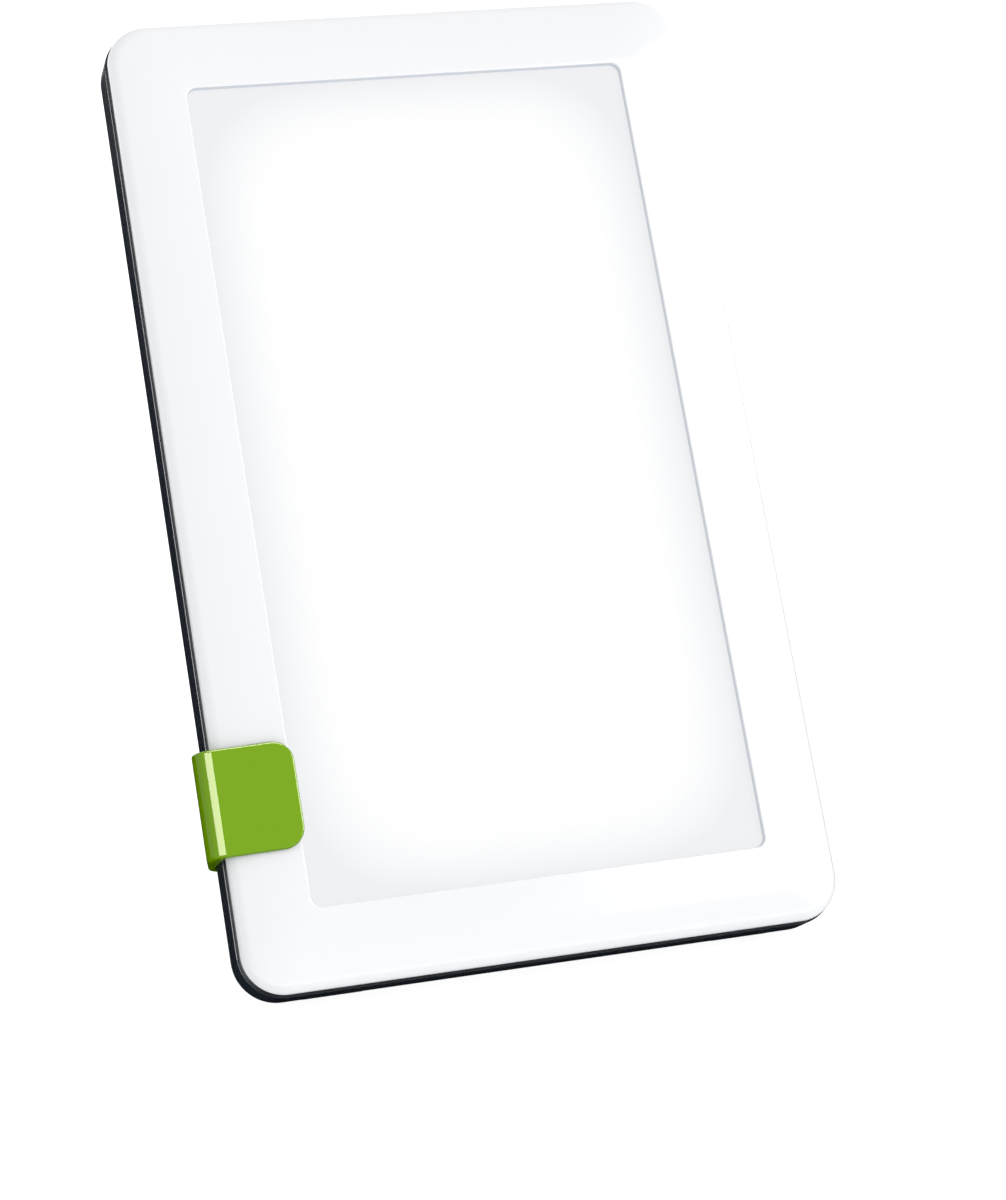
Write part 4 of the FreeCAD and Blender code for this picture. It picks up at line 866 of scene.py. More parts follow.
# %% Shell's holes
HEAD_HOLE_R, SHANK_HOLE_R, BUTTON_HOLE_R, FLANGE_HOLE_R, PLUG_HOLE_R = 2.7, 1.4, 6.2, 7.55, 4.2
SHANK_HOLE_TOP, FLANGE_HOLE_TOP, BROKEN_EDGE, PAST = -1.0, 9.0, 0.35, 0.2


def mouth(surface, radius):
    """The end of a hole whose edge is broken where it comes out of a surface."""
    return [(surface - BROKEN_EDGE, radius), (surface + PAST, radius + BROKEN_EDGE + PAST)]


screw_hole = [(SHANK_HOLE_TOP, SHANK_HOLE_R), (SCREW_SEAT, SHANK_HOLE_R), (SCREW_SEAT, HEAD_HOLE_R)]
button_hole = [(FLANGE_HOLE_TOP, FLANGE_HOLE_R), (INNER_BACK, FLANGE_HOLE_R)]
button_hole += [(INNER_BACK, BUTTON_HOLE_R)]
plug_hole = [(JACK_MOUTH - 1, PLUG_HOLE_R)]
mesh = bmesh.new()
for place in corners:
    turned(mesh, place, "Y", screw_hole + mouth(BACK, HEAD_HOLE_R))
turned(mesh, (BUTTON_X, BUTTON_Z), "Y", button_hole + mouth(BACK, BUTTON_HOLE_R), COLLAR_STEPS)
turned(mesh, (JACK_Y, JACK_Z), "X", plug_hole + mouth(SHELL_X, PLUG_HOLE_R))
combine(shell, to_object(mesh, "holes"), "DIFFERENCE")

# %% [markdown]
# ## The foot pads
# Two small rubber pads are let into the shell's lower rear edge, where the panel stands on the
# table. Each is a rounded block, square to the table, and the shell has a pocket for it.

# %% Pads and their pockets
DOWN = Vector((0, math.sin(LEAN), -math.cos(LEAN)))
LEVEL = Vector((0, math.cos(LEAN), math.sin(LEAN)))
REAR_ARC = Vector((0, BACK - REAR_R, REAR_R - SHELL_Z))
PAD_X, PAD_HALF_X, PAD_HALF_W, PAD_SHIFT, PAD_CORNER, PAD_FIT = 50.0, 8.0, 1.7, 1.1, 1.2, 0.1
PAD_TOP, PAD_SOLE, PAD_EDGE = 3.4, 4.85, 0.35


def pad_row(side, inset, down):
    row = rounded_row(PAD_HALF_X - inset, PAD_HALF_W - inset, PAD_CORNER - inset, 0)
    middle = REAR_ARC + Vector((side * PAD_X, 0, 0)) + DOWN * down + LEVEL * PAD_SHIFT
    return [middle + Vector((x, 0, 0)) + LEVEL * across for x, _, across in row]


def pad_rows(side):
    return [pad_row(side, 0, PAD_TOP)] + [
        pad_row(side, PAD_EDGE * (1 - math.cos(a)), PAD_SOLE - PAD_EDGE + PAD_EDGE * math.sin(a))
        for a in quarter(5)
    ]


mesh = bmesh.new()
for side in (-1, 1):
    pocket_rows = [pad_row(side, -PAD_FIT, down) for down in (PAD_TOP, PAD_SOLE + 1)]
    skin(mesh, pocket_rows, cap_start=True, cap_end=True)
combine(shell, to_object(mesh, "pad_pockets"), "DIFFERENCE")
place_piece(shell, "lamp", ["back_shell"], anthracite)
mesh = bmesh.new()
for side in (-1, 1):
    skin(mesh, pad_rows(side), cap_start=True, cap_end=True)
place_piece(to_object(mesh, "rubber_foot_pads"), "lamp", ["foot_pads"], foot_black)

# %% [markdown]
# ## The closing screws
# Four screws with a cross recess hold the case together from the back. The tree makes one head
# with its shank, cuts the recess and puts a copy on each corner of a grid. Its Z axis is then
# turned to the panel's Y.

# %% Screws' tree
screw_tree, given, out = geometry_tree(
    "closing screws",
    [
        ("Across", "NodeSocketFloat", 1.0),
        ("Along", "NodeSocketFloat", 1.0),
        ("Head radius", "NodeSocketFloat", 1.0),
        ("Head height", "NodeSocketFloat", 1.0),
        ("Edge", "NodeSocketFloat", 0.1),
        ("Shank radius", "NodeSocketFloat", 1.0),
        ("Shank length", "NodeSocketFloat", 1.0),
        ("Slot", "NodeSocketFloat", 0.5),
        ("Finish", "NodeSocketMaterial", None),
    ],
)


def lifted(tree, geometry, height):
    place = wired(tree, "ShaderNodeCombineXYZ", [("Z", height)])
    return wired(tree, "GeometryNodeTransform", [("Geometry", geometry), ("Translation", place)])


SCREW_STEPS = 40


def disc(tree, low_radius, high_radius, height):
    """A cone's frustum that stands on Z = 0."""
    return wired(
        tree,
        "GeometryNodeMeshCone",
        [("Vertices", SCREW_STEPS), ("Radius Bottom", low_radius)]
        + [("Radius Top", high_radius), ("Depth", height)],
        fill_type="NGON",
    )


head_r, edge = given.outputs["Head radius"], given.outputs["Edge"]
flank = arithmetic(screw_tree, "SUBTRACT", given.outputs["Head height"], edge)
crest_r = arithmetic(screw_tree, "SUBTRACT", head_r, edge)
head = disc(screw_tree, head_r, head_r, flank)
crest = lifted(screw_tree, disc(screw_tree, head_r, crest_r, edge), flank)
shank_r, shank_l = given.outputs["Shank radius"], given.outputs["Shank length"]
below = arithmetic(screw_tree, "MULTIPLY", shank_l, -1.0)
shank = lifted(screw_tree, disc(screw_tree, shank_r, shank_r, shank_l), below)
blank = wired(
    screw_tree,
    "GeometryNodeMeshBoolean",
    [("Mesh 2", head), ("Mesh 2", crest), ("Mesh 2", shank)],
    operation="UNION",
    solver="EXACT",
)

# %% Screws' recess and places
CROSS_REACH, CROSS_DEPTH = 1.15, 1.2  # of the head's radius and height, half the depth above it
cross_l = arithmetic(screw_tree, "MULTIPLY", head_r, CROSS_REACH)
deep = arithmetic(screw_tree, "MULTIPLY", given.outputs["Head height"], CROSS_DEPTH)
arm_sizes = [
    wired(screw_tree, "ShaderNodeCombineXYZ", [("X", a), ("Y", b), ("Z", deep)])
    for a, b in ((cross_l, given.outputs["Slot"]), (given.outputs["Slot"], cross_l))
]
arm_bars = [wired(screw_tree, "GeometryNodeMeshCube", [("Size", size)]) for size in arm_sizes]
arms = [("Mesh 2", lifted(screw_tree, arm, given.outputs["Head height"])) for arm in arm_bars]
screw = wired(
    screw_tree,
    "GeometryNodeMeshBoolean",
    [("Mesh 1", blank)] + arms,
    operation="DIFFERENCE",
    solver="EXACT",
)
spread = [("Size X", given.outputs["Across"]), ("Size Y", given.outputs["Along"])]
grid = wired(screw_tree, "GeometryNodeMeshGrid", spread + [("Vertices X", 2), ("Vertices Y", 2)])
screws = wired(screw_tree, "GeometryNodeInstanceOnPoints", [("Points", grid), ("Instance", screw)])
close_tree(screw_tree, screws, given.outputs["Finish"], out)

# %% Closing screws
screws_low, screws_high = panel_box("shell_screws")
Z_TO_BACK = Matrix.Rotation(math.radians(-90), 4, "X")
closing = grown(
    "closing_screws",
    screw_tree,
    PANEL @ Matrix.Translation((0, SCREW_SEAT, 0)) @ Z_TO_BACK,
    Across=2 * SCREW_X,
    Along=2 * SCREW_Z,
    Head_radius=screws_high.x - SCREW_X,
    Head_height=screws_high.y - SCREW_SEAT,
    Edge=0.35,
    Shank_radius=1.2,
    Shank_length=SCREW_SEAT - screws_low.y,
    Slot=0.7,
)
place_piece(closing, "lamp", ["shell_screws"], zinc)

# %% [markdown]
# ## The power button
# A dished cap, held in by a flange, with the usual mark for on and off: an open ring and a bar.
# The mark stands a twentieth of a millimetre proud of the dish, as a print does.

# %% Button's cap
CAP_R, CAP_TOP, CAP_EDGE, CAP_STEPS = 6.0, 14.6, 0.4, 72
DISH_R, DISH, DISH_RIM, RIM_DROP = 4.8, 0.35, 0.12, 0.02
DISH_SHARES = (0.97, 0.85, 0.7, 0.5, 0.3, 0.1)
FLANGE_R, FLANGE_FROM, FLANGE_TO, FLANGE_EDGE, STEM_R, STEM_TIP = 7.3, 11.1, 12.0, 0.15, 2.2, 10.6
DISH_BOW = (DISH_R**2 + DISH**2) / (2 * DISH)


def dish_floor(radius):
    return CAP_TOP - DISH + radius**2 / (2 * DISH_BOW)


def rounded_end(top, radius, edge):
    """Profile of a turned end whose edge is a quarter circle."""
    return [
        (top - edge + edge * math.sin(a), radius - edge + edge * math.cos(a)) for a in quarter(6)
    ]


profile = [(STEM_TIP, STEM_R), (FLANGE_FROM, STEM_R), (FLANGE_FROM, FLANGE_R - FLANGE_EDGE)]
profile += [(FLANGE_FROM + FLANGE_EDGE, FLANGE_R), (FLANGE_TO - FLANGE_EDGE, FLANGE_R)]
profile += [(FLANGE_TO, FLANGE_R - FLANGE_EDGE), (FLANGE_TO, CAP_R)]
profile += rounded_end(CAP_TOP, CAP_R, CAP_EDGE) + [(CAP_TOP - RIM_DROP, DISH_R + DISH_RIM)]
profile += [(dish_floor(DISH_R * share), DISH_R * share) for share in DISH_SHARES]
mesh = bmesh.new()
turned(mesh, (BUTTON_X, BUTTON_Z), "Y", profile, CAP_STEPS)
place_piece(to_object(mesh, "dished_button"), "button", ["power_button"], button_satin)

# %% Button's mark
MARK_R, MARK_W, MARK_GAP, MARK_PROUD, MARK_STEPS = 1.9, 0.36, 32, 0.05, 40
BAR_LOW, BAR_PROUD = 0.5, 0.6
half = MARK_W / 2
root_y, print_y = CAP_TOP - DISH - MARK_PROUD, dish_floor(MARK_R + half) + MARK_PROUD
ring_section = (
    (MARK_R - half, root_y),
    (MARK_R + half, root_y),
    (MARK_R + half, print_y),
    (MARK_R - half, print_y),
)
mesh = bmesh.new()
rows = []
for step in range(MARK_STEPS + 1):
    angle = math.radians(90 + MARK_GAP + (360 - 2 * MARK_GAP) * step / MARK_STEPS)
    across, up = math.cos(angle), math.sin(angle)
    rows.append([(BUTTON_X + r * across, y, BUTTON_Z + r * up) for r, y in ring_section])
skin(mesh, rows, cap_start=True, cap_end=True)
bar_z = (BUTTON_Z + BAR_LOW, BUTTON_Z + MARK_R + BAR_PROUD)
box_form(mesh, BUTTON_X - half, BUTTON_X + half, root_y, print_y, *bar_z)
place_piece(to_object(mesh, "button_mark"), "button", [], mark_print, smooth=False)

# %% [markdown]
# ## The power inlet
# A round socket for a barrel plug looks out of the shell's side. Its mouth is bevelled, and the
# nickel pin in its middle has a rounded tip.

# %% Socket and pin
SOCKET_R, SOCKET_BORE, SOCKET_TAIL, SOCKET_FLOOR, SOCKET_EDGE = 4.0, 3.0, 59.0, 60.0, 0.2
SOCKET_FLANGE, SOCKET_FLANGE_T, SOCKET_FLANGE_EDGE = 4.8, 1.0, 0.1
SOCKET_LIP_EDGE, BORE_BEVEL = 0.15, 0.3
PIN_ROOT, PIN_R, PIN_TIP, PIN_ROUND, PIN_STEPS = 1.4, 1.0, 68.4, 0.7, 32
profile = [
    (SOCKET_TAIL, PIN_ROOT),
    (SOCKET_TAIL, SOCKET_R - SOCKET_EDGE),
    (SOCKET_TAIL + SOCKET_EDGE, SOCKET_R),
    (JACK_MOUTH - SOCKET_FLANGE_T, SOCKET_R),
    (JACK_MOUTH - SOCKET_FLANGE_T, SOCKET_FLANGE - SOCKET_FLANGE_EDGE),
    (JACK_MOUTH - SOCKET_FLANGE_T + SOCKET_FLANGE_EDGE, SOCKET_FLANGE),
    (JACK_MOUTH - SOCKET_LIP_EDGE, SOCKET_FLANGE),
    (JACK_MOUTH, SOCKET_FLANGE - SOCKET_LIP_EDGE),
    (JACK_MOUTH, SOCKET_BORE + BORE_BEVEL),
    (JACK_MOUTH - BORE_BEVEL, SOCKET_BORE),
    (SOCKET_FLOOR, SOCKET_BORE),
    (SOCKET_FLOOR, PIN_ROOT),
]
mesh = bmesh.new()
turned(mesh, (JACK_Y, JACK_Z), "X", profile, closed=True)
place_piece(to_object(mesh, "inlet_socket"), "lamp", ["dc_jack"], jack_moulding)
profile = [(SOCKET_TAIL, PIN_ROOT), (SOCKET_FLOOR, PIN_ROOT), (SOCKET_FLOOR, PIN_R)]
profile += rounded_end(PIN_TIP, PIN_R, PIN_ROUND)
mesh = bmesh.new()
turned(mesh, (JACK_Y, JACK_Z), "X", profile, PIN_STEPS)
place_piece(to_object(mesh, "inlet_pin"), "lamp", ["dc_pin"], nickel)

# %% [markdown]
# ## The stand's clip
# A single green moulding grips the panel's left edge: a tongue that follows the crown of the
# bezel, a web past the side, a jaw behind the shell and a leg that sweeps back to the table.
# Its section is drawn once, as straight runs and arcs, drawn out to its height and then its
# edges are rounded, as the mould would round them. The rounding is not clamped, because the
# short steps of the arcs would otherwise hold it back.

# %% Section of the clip
CLIP_LOW, CLIP_HIGH, CLIP_TIP, JAW_TIP = -86.15, -61.15, -54.05, -33.05
CLIP_GAP, CLIP_WALL, JAW_FRONT, JAW_BACK = 0.3, 1.6, 14.2, 16.6
CLIP_FRONT_R, CLIP_BULGE, JAW_RAMP = 4.4, 2.0, 2.5
WEB_IN = -SHELL_X - CLIP_GAP
WEB_OUT = WEB_IN - CLIP_WALL


def arc(centre, radius, start, end, steps):
    """Points of an arc in X and Y, between two angles in degrees."""
    angles = (math.radians(start + (end - start) * step / steps) for step in range(steps + 1))
    return [(centre[0] + radius * math.cos(a), centre[1] + radius * math.sin(a)) for a in angles]


def over_bezel(along, offset):
    inset, height = crown(along, offset)
    return (inset - BEZEL_X, -height)


def touching(first, first_r, second, second_r, side):
    """Direction from the middles of two arcs to a line that touches both, on one side."""
    apart = Vector(second) - Vector(first)
    lean = (first_r - second_r) / apart.length
    along = apart.normalized()
    square = Vector((-along.y, along.x)) * side
    return along * lean + square * math.sqrt(1 - lean**2)


def clip_section():
    """The tongue is flat outside. The web bulges at its front and draws in to the rear edge."""
    outer, inner = CLIP_GAP + CLIP_WALL, CLIP_GAP
    bend_r = REAR_R + outer
    tip = (CLIP_TIP, over_bezel(2, outer)[1])
    front = (WEB_OUT - CLIP_BULGE + CLIP_FRONT_R, over_bezel(1, outer)[1] + CLIP_FRONT_R)
    bend = (WEB_IN + REAR_R + CLIP_GAP, BACK - REAR_R)
    to_face = touching(front, CLIP_FRONT_R, tip, 0, -1)
    to_web = touching(front, CLIP_FRONT_R, bend, bend_r, 1)
    face_angle = math.degrees(math.atan2(to_face.y, to_face.x)) % 360
    web_angle = math.degrees(math.atan2(to_web.y, to_web.x)) % 360
    points = [tip] + arc(front, CLIP_FRONT_R, face_angle, web_angle, 24)
    points += arc(bend, bend_r, web_angle, 90, 14)
    points += [(bend[0] + JAW_RAMP, JAW_BACK), (JAW_TIP, JAW_BACK), (JAW_TIP, JAW_FRONT)]
    points += arc(bend, REAR_R + inner, 90, 180, 12)
    points += [over_bezel(step / 8, inner) for step in range(9)]
    points += [over_bezel(1 + step / 8, inner) for step in range(1, 9)]
    points.append((CLIP_TIP, over_bezel(2, inner)[1]))
    return points


print("clip section", len(clip_section()), "points")

# %% Clip with rounded corners and edges
BEYOND = 1.0  # how far a cutting form reaches past what it cuts


def corner_form(mesh, x, z, radius, towards_z, y0, y1):
    """What a rounding takes off the corner at (x, z) of a plate that ends at x."""
    middle_x, middle_z = x - radius, z - towards_z * radius
    outline = [
        (middle_x + radius * math.cos(a), middle_z + towards_z * radius * math.sin(a))
        for a in quarter(16)
    ]
    beyond_x, beyond_z = x + BEYOND, z + towards_z * BEYOND
    outline += [(middle_x, beyond_z), (beyond_x, beyond_z), (beyond_x, middle_z)]
    rows = [[(px, y, pz) for px, pz in outline] for y in (y0, y1)]
    skin(mesh, rows, cap_start=True, cap_end=True)


PLATE_CORNER, TONGUE_SPAN, JAW_SPAN = 5.0, (-9.0, -5.0), (13.0, 18.0)
mesh = bmesh.new()
rows = [[(x, y, z) for x, y in clip_section()] for z in (CLIP_LOW, CLIP_HIGH)]
skin(mesh, rows, cap_start=True, cap_end=True)
clip = to_object(mesh, "stand_moulding")
mesh = bmesh.new()
for tip, span in ((CLIP_TIP, TONGUE_SPAN), (JAW_TIP, JAW_SPAN)):
    for z, towards_z in ((CLIP_LOW, -1), (CLIP_HIGH, 1)):
        corner_form(mesh, tip, z, PLATE_CORNER, towards_z, *span)
combine(clip, to_object(mesh, "corners"), "DIFFERENCE")
ROUNDED_EDGE = {
    "width": 0.0007,
    "segments": 5,
    "limit_method": "ANGLE",
    "angle_limit": math.radians(50),
    "use_clamp_overlap": False,
}
settle(clip, [("BEVEL", ROUNDED_EDGE)])
print("clip faces", len(clip.data.polygons))

# %% [markdown]
# ## The stand's leg
# The leg is a low arch with a hollow underside and two webs. It is lofted through sections
# square to the panel: each has its own left, right, top and bottom, read from the arcs of the
# plan and of the side view, with rounded upper edges. Near the toe the sides draw in along a
# seven millimetre rounding, and near the jaw the sections flare a little, as a fillet does.

# %% Arcs of the leg
LEAN_TAN = math.tan(LEAN)
TOE, HEEL, ROOT, MIDDLE = 103.9, 86.9, 15.6, 57.9
TOE_R, SKIN, ARCH, LEG_CROWN, TOE_H, ROOT_INSET, SOLE_OUT = 7.0, 2.2, 12.0, 1.6, 4.6, 2.0, 1.0
PAD_OUT = 0.35  # how far the foot pads stand out, which sets the table's height


def table(y, lift=0.0):
    """Height of the table in the panel's frame at a given Y, plus a lift square to the table."""
    y_rest = BACK - REAR_R
    z_rest = REAR_R - SHELL_Z
    down = REAR_R + PAD_OUT - lift
    point = (y_rest + down * math.sin(LEAN), z_rest - down * math.cos(LEAN))
    return point[1] + (y - point[0]) * LEAN_TAN


def bow(first, middle, last):
    """A function of Y along the circle through three points (y, value)."""
    (ay, av), (by, bv), (cy, cv) = first, middle, last
    scale = 2 * (ay * (bv - cv) + by * (cv - av) + cy * (av - bv))
    squares = (ay**2 + av**2, by**2 + bv**2, cy**2 + cv**2)
    centre_y = (squares[0] * (bv - cv) + squares[1] * (cv - av) + squares[2] * (av - bv)) / scale
    centre_v = (squares[0] * (cy - by) + squares[1] * (ay - cy) + squares[2] * (by - ay)) / scale
    radius = math.hypot(ay - centre_y, av - centre_v)
    sign = 1 if bv > centre_v else -1
    return lambda y: centre_v + sign * math.sqrt(max(radius**2 - (y - centre_y) ** 2, 0.0))


def straight_top(y):
    root_z, toe_z = CLIP_HIGH - ROOT_INSET, table(TOE, SOLE_OUT) + TOE_H
    return root_z + (toe_z - root_z) * (y - ROOT) / (TOE - ROOT)


def side_of_leg(root, middle, toe):
    """One side in plan, given how far it lies from the bezel's left side at three places."""
    return bow((ROOT, root - BEZEL_X), (MIDDLE, middle - BEZEL_X), (TOE - TOE_R, toe - BEZEL_X))


crest = (MIDDLE, straight_top(MIDDLE) + LEG_CROWN)
leg_top = bow((ROOT, straight_top(ROOT)), crest, (TOE, straight_top(TOE)))
leg_arch = bow((HEEL, table(HEEL, SOLE_OUT)), (MIDDLE, crest[1] - ARCH), (ROOT, CLIP_LOW + ROOT_INSET))
leg_left = side_of_leg(3.0, 10.0, 25.0)
leg_right = side_of_leg(38.0, 46.0, 75.0)
print("leg's width at the toe", round(leg_right(TOE - TOE_R) - leg_left(TOE - TOE_R), 2))

# %% Sections of the leg
TOP_R, LOW_R, FLARE, FILLET, ARC_STEPS = 1.6, 0.5, 0.9, 1.0, 8


def leg_bottom(y):
    return table(y, SOLE_OUT) if y >= HEEL else leg_arch(y)


def section_row(y, left, right, low, high, top_r, low_r):
    """One section of the leg: a rectangle with rounded corners, in the plane of constant Y."""
    middles = (
        (right - top_r, high - top_r, top_r, 0),
        (left + top_r, high - top_r, top_r, 90),
        (left + low_r, low + low_r, low_r, 180),
        (right - low_r, low + low_r, low_r, 270),
    )
    row = []
    for x, z, radius, start in middles:
        row += [(px, y, pz) for px, pz in arc((x, z), radius, start, start + 90, ARC_STEPS)]
    return row


def flare_at(y):
    """How much wider a section is near the jaw, where a fillet would be."""
    if y <= JAW_BACK:
        return FLARE
    near = max(0.0, FILLET - (y - JAW_BACK))
    return FLARE * (1 - math.sqrt(1 - near**2))


# %% Leg
HAIR, FILLET_STEP, LEG_FROM, LEG_STEP, TOE_FROM = 0.02, 0.2, 20, 3.0, 89.0


def leg_rows():
    stations = [ROOT] + [JAW_BACK + HAIR + step * FILLET_STEP for step in range(6)]
    stations += [LEG_FROM + step * LEG_STEP for step in range(22)]
    stations += [HEEL - HAIR, HEEL + HAIR] + [TOE_FROM + step for step in range(8)]
    rows = []
    for y in stations:
        grow = flare_at(y)
        left, right = leg_left(y) - grow, leg_right(y) + grow
        rows.append(
            section_row(y, left, right, leg_bottom(y) - grow, leg_top(y) + grow, TOP_R, LOW_R)
        )
    for angle in quarter(12)[1:]:
        y = TOE - TOE_R + TOE_R * math.sin(angle)
        draw = TOE_R * (1 - math.cos(angle))
        left, right = leg_left(TOE - TOE_R) + draw, leg_right(TOE - TOE_R) - draw
        rows.append(section_row(y, left, right, leg_bottom(y), leg_top(y), TOP_R, LOW_R))
    return rows


mesh = bmesh.new()
skin(mesh, leg_rows(), cap_start=True, cap_end=True)
combine(clip, to_object(mesh, "leg"), "UNION")
print("clip and leg faces", len(clip.data.polygons))

# %% Hollow, webs and the sole's seat
HOLLOW_FROM, WEBS, WEB_T, HOLLOW_R, HOLLOW_STEPS, BELOW = 3.5, (39.9, 67.9), 1.6, 1.0, 10, 20.0
mesh = bmesh.new()
starts = [ROOT + HOLLOW_FROM] + [web + WEB_T for web in WEBS]
ends = list(WEBS) + [HEEL - SKIN]
for start, end in zip(starts, ends):
    rows = []
    for step in range(HOLLOW_STEPS + 1):
        y = start + (end - start) * step / HOLLOW_STEPS
        left, right = leg_left(y) + SKIN, leg_right(y) - SKIN
        rows.append(
            section_row(y, left, right, table(y) - BELOW, leg_top(y) - SKIN, HOLLOW_R, LOW_R)
        )
    skin(mesh, rows, cap_start=True, cap_end=True)
combine(clip, to_object(mesh, "hollow"), "DIFFERENCE")
print("hollowed stand faces", len(clip.data.polygons))

# %% [markdown]
# ## Rubber on the stand
# A sole under the leg keeps it from sliding, and a pad in the jaw presses on the shell's back.
# Both are let into the moulding, so the same form with a little play cuts each pocket. A row
# of bars cuts the grooves that give them grip.

# %% Sole
SOLE_IN, SOLE_HEEL, SOLE_TOE, SOLE_T, SOLE_STEPS = 2.4, 89.3, 101.5, 1.8, 8


def sole_object(name, play, lift):
    """The sole, or with some play the form of its pocket, as a row of upright rectangles."""
    rows = []
    turn_y, radius = TOE - TOE_R, TOE_R - SOLE_IN + play
    straight = turn_y - SOLE_HEEL + play
    shares = [step / SOLE_STEPS for step in range(SOLE_STEPS + 1)]
    stations = [(SOLE_HEEL - play + straight * share, 0.0) for share in shares]
    for angle in quarter(12)[1:]:
        stations.append((turn_y + radius * math.sin(angle), radius * (1 - math.cos(angle))))
    for y, draw in stations:
        near, low, high = min(y, turn_y), table(y), table(y, lift)
        left = leg_left(near) + SOLE_IN - play + draw
        right = leg_right(near) - SOLE_IN + play - draw
        rows.append([(left, y, low), (right, y, low), (right, y, high), (left, y, high)])
    mesh = bmesh.new()
    skin(mesh, rows, cap_start=True, cap_end=True)
    return to_object(mesh, name)


combine(clip, sole_object("sole_pocket", PAD_FIT, SOLE_T), "DIFFERENCE")
sole = sole_object("rubber_sole", 0.0, SOLE_T)
groove_y = (SOLE_HEEL + SOLE_TOE) / 2
groove_x = (leg_left(groove_y) + leg_right(groove_y)) / 2
tilt = Matrix.Rotation(LEAN, 4, "X") @ Matrix.Rotation(math.radians(90), 4, "X")
grooves = grown(
    "sole_grooves",
    bars_tree,
    PANEL @ Matrix.Translation((groove_x, groove_y, table(groove_y))) @ tilt,
    Count=4,
    Pitch=2.4,
    Length=80.0,
    Depth=1.2,
    Thickness=0.8,
)
combine(sole, grooves, "DIFFERENCE")
place_piece(sole, "stand", ["stand_sole"], foot_black)

# %% Grip pad
grip_low, grip_high = panel_box("stand_grip_pad")
mesh = bmesh.new()
pocket_x = (grip_low.x - PAD_FIT, grip_high.x + PAD_FIT)
pocket_z = (grip_low.z - PAD_FIT, grip_high.z + PAD_FIT)
box_form(mesh, *pocket_x, JAW_FRONT - BEYOND, grip_high.y, *pocket_z)
combine(clip, to_object(mesh, "grip_pocket"), "DIFFERENCE")
stand = place_piece(clip, "stand", ["stand_clip"], green_gloss)
mesh = bmesh.new()
box_form(mesh, grip_low.x, grip_high.x, grip_low.y, grip_high.y, grip_low.z, grip_high.z)
grip = to_object(mesh, "rubber_grip")
middle = (grip_low + grip_high) / 2
grip_grooves = bars_at(
    "grip_grooves",
    (middle.x, grip_low.y, middle.z),
    False,
    Count=6,
    Pitch=3.0,
    Length=40.0,
    Depth=0.4,
    Thickness=0.9,
)
combine(grip, grip_grooves, "DIFFERENCE")
place_piece(grip, "stand", ["stand_grip_pad"], foot_black)

# %% [markdown]
# ## The lit screen and the hidden pieces
# The solids that stay as the CAD made them, most of them inside the case, only need their
# finish.

# %% Finishes of the solids that stay
FINISHES = {
    "light_screen": opal,
    "screen_gasket": seal_black,
    "prism_film": clear_film,
    "diffuser_film": white_film,
    "light_guide_plate": acrylic,
    "reflector_sheet": white_film,
    "led_strip_left": strip_white,
    "led_strip_right": strip_white,
    "leds_left": phosphor,
    "leds_right": phosphor,
    "heat_tray": aluminium,
    "tray_screws": zinc,
    "control_board": solder_mask,
    "board_screws": zinc,
    "driver_chip": epoxy,
    "power_coil": ferrite,
    "capacitors": aluminium,
    "lead_connectors": nylon,
    "inlet_lead": sheath,
    "led_lead_left": sheath,
    "led_lead_right": sheath,
    "switch_lead": sheath,
    "switch_board": solder_mask,
    "tact_switch": jack_moulding,
    "switch_plunger": jack_moulding,
}
for name, material in FINISHES.items():
    node = nodes[name]
    node.data.materials.clear()
    node.data.materials.append(material)
print("CAD nodes finished:", len(FINISHES))

# %% [markdown]
# ## Floor and surroundings
# A pale floor runs far behind the lamp and white surroundings light everything softly. A black
# card lies on the floor under and behind the lamp. It is seen only in reflections, where it
# keeps the dark shell and the underside of the clip dark, as such a card does in a studio.

# %% Floor
FLOOR_REACH, FLOOR_DROP = 14.0, 0.0002
floor_finish = finish(
    "pale floor",
    (0.5, 0.5, 0.5),
    (0.9, 1.0),
    unevenness=0.004,
    tone_scale=2.0,
    Specular_IOR_Level=0.0,
)
mesh = bmesh.new()
bmesh.ops.create_grid(mesh, x_segments=8, y_segments=8, size=FLOOR_REACH)
floor = to_object(mesh, "floor", Matrix.Translation((0, 0, -FLOOR_DROP)))
floor.data.materials.append(floor_finish)

# %% Black card
CARD_LEFT, CARD_RIGHT, CARD_NEAR, CARD_FAR, CARD_UP = -1.6, 3.0, -0.085, 3.2, 0.0004
card_black = finish(
    "black card", (0.002, 0.002, 0.002), (0.9, 1.0), unevenness=0.0, Specular_IOR_Level=0.0
)
mesh = bmesh.new()
card_corners = [(CARD_LEFT, CARD_NEAR), (CARD_RIGHT, CARD_NEAR)]
card_corners += [(CARD_RIGHT, CARD_FAR), (CARD_LEFT, CARD_FAR)]
mesh.faces.new([mesh.verts.new((x, y, CARD_UP)) for x, y in card_corners])
card = to_object(mesh, "black_card", Matrix())
card.data.materials.append(card_black)
for ray in ("camera", "diffuse", "shadow", "transmission", "volume_scatter"):
    setattr(card, "visible_" + ray, False)

# %% Surroundings
SKY = 1.03
world = bpy.data.worlds.new("studio")
bpy.context.scene.world = world
world.use_nodes = True
world.node_tree.nodes["Background"].inputs["Color"].default_value = (1.0, 1.0, 1.0, 1)
world.node_tree.nodes["Background"].inputs["Strength"].default_value = SKY

# %% [markdown]
# ## Lamps
# A broad key light stands in front, to the right of the panel, and shades the crown of the
# bezel from left to right. The green stand has a light of its own, which gives no gloss, and
# three soft boxes: one draws the broad line down the clip's bend, the others the fine line
# along its upper and right edges. One more box picks out the shell's ledge, and one lights the
# bezel from the right. The light on the floor casts no shadow, so the floor stays evenly white.

# %% Lamp helpers
def shine_on(light, pieces):
    """Lets a light reach only some pieces."""
    group = bpy.data.collections.new(light.name + " reaches")
    for piece in pieces:
        group.objects.link(piece)
    light.light_linking.receiver_collection = group


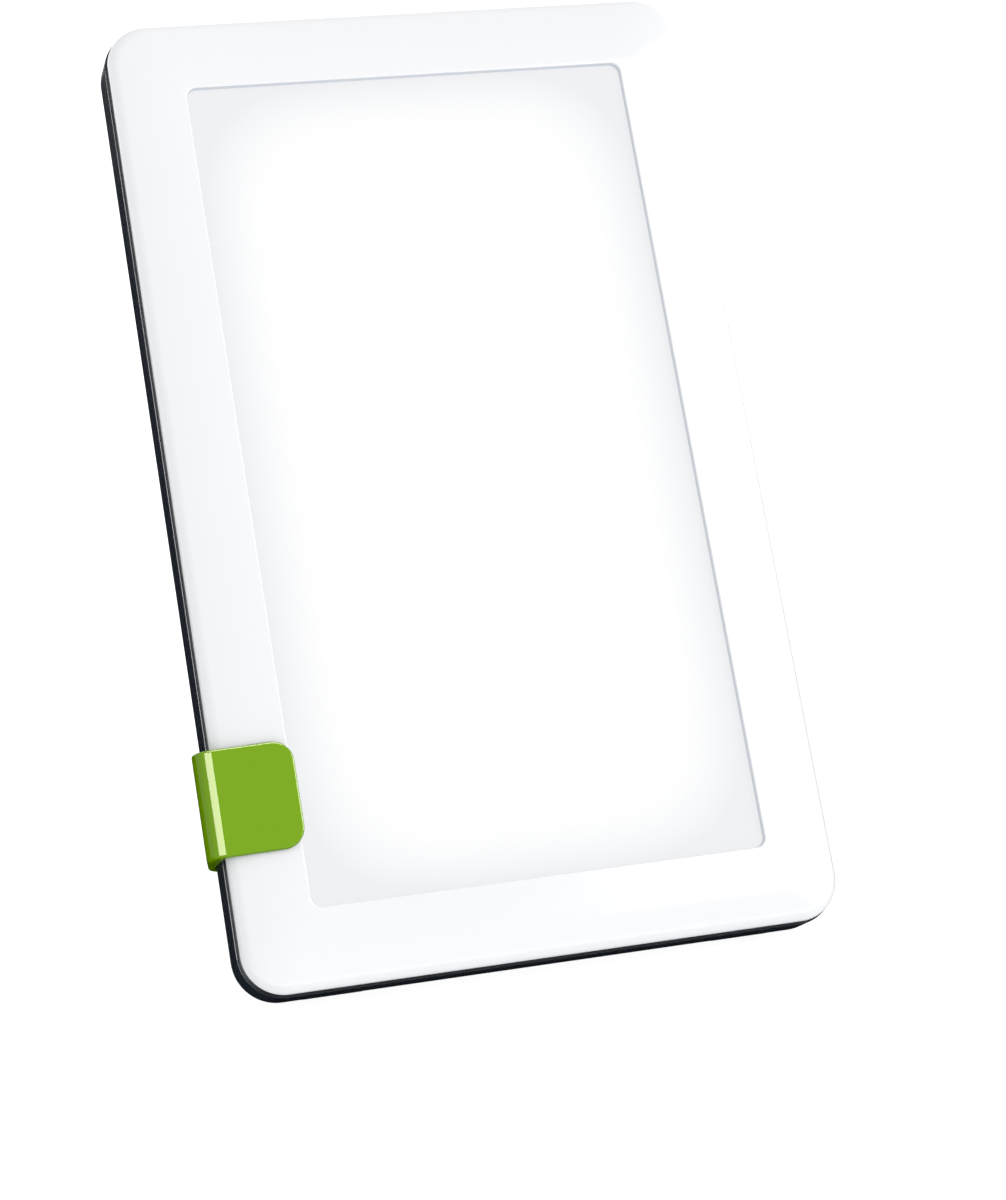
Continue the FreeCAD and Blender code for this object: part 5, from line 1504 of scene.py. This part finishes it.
def soft_box(name, target, towards, distance, width, height, radiance, colour):
    """A lit rectangle that faces a point, both given in the panel's own directions."""
    out = Vector(towards).normalized()
    across = Vector((0, 0, 1)).cross(out).normalized()
    up = out.cross(across)
    place = Vector(target) + out * distance / MM
    square = Matrix((across, up, out)).transposed().to_4x4()
    light = bpy.data.objects.new(name, bpy.data.lights.new(name, "AREA"))
    light.data.shape = "RECTANGLE"
    light.data.size, light.data.size_y = width, height
    light.data.energy = radiance * width * height * math.pi
    light.data.color = colour
    light.matrix_world = Matrix.Translation(PANEL @ place) @ TURN @ square
    light.visible_camera = False
    light.visible_diffuse = False
    bpy.context.scene.collection.objects.link(light)
    return light


# %% Suns
def sun(name, turn, lift, power, softness, pieces):
    """A sun, placed in degrees to the right of and above the panel's normal."""
    turn, lift = math.radians(turn), math.radians(lift)
    level = math.cos(lift)
    towards = Vector((math.sin(turn) * level, -math.cos(turn) * level, math.sin(lift)))
    light = bpy.data.objects.new(name, bpy.data.lights.new(name, "SUN"))
    light.data.energy = power
    light.data.angle = math.radians(softness)
    light.rotation_mode = "QUATERNION"
    light.rotation_quaternion = (TURN.to_3x3() @ -towards).to_track_quat("-Z", "Y")
    bpy.context.scene.collection.objects.link(light)
    shine_on(light, pieces)
    return light


everything = [o for o in bpy.data.objects if o.type == "MESH" and o not in (floor, card)]
sun("key", 45, 3, 1.1, 40, everything)
stand_key = sun("stand_key", 20, 10, 3.7, 30, [stand])
stand_key.visible_glossy = False
floor_fill = sun("floor_fill", -12, 20, 7.6, 40, [floor])
floor_fill.data.use_shadow = False

# %% Soft boxes
CLIP_BEND, CLIP_MIDDLE = (-72.5, -6.5, -73.6), (-60.0, -8.0, -73.6)
SHELL_EDGE, SCREEN_MIDDLE = (-72.0, 0.0, 0.0), (0.0, -6.0, 0.0)
WARM, NEUTRAL = (1.0, 0.93, 0.72), (1.0, 1.0, 1.0)
BOXES = (
    # name, piece, what it faces, from where, distance, width, height, radiance, colour
    ("bend_box", stand, CLIP_BEND, (-0.416, -0.892, 0.182), 1.5, 1.14, 0.5, 26.0, WARM),
    ("upper_box", stand, CLIP_MIDDLE, (0.17, -0.40, 0.90), 1.2, 0.8, 0.9, 24.0, WARM),
    ("right_box", stand, CLIP_MIDDLE, (0.893, -0.416, 0.174), 1.2, 0.8, 0.7, 24.0, WARM),
    ("ledge_box", shell, SHELL_EDGE, (-0.452, -0.888, 0.087), 1.5, 0.9, 1.3, 22.0, NEUTRAL),
    ("side_panel", bezel, SCREEN_MIDDLE, (0.69, -0.72, 0.105), 1.5, 1.5, 1.15, 2.8, NEUTRAL),
)
for name, piece, *placing in BOXES:
    shine_on(soft_box(name, *placing), [piece])
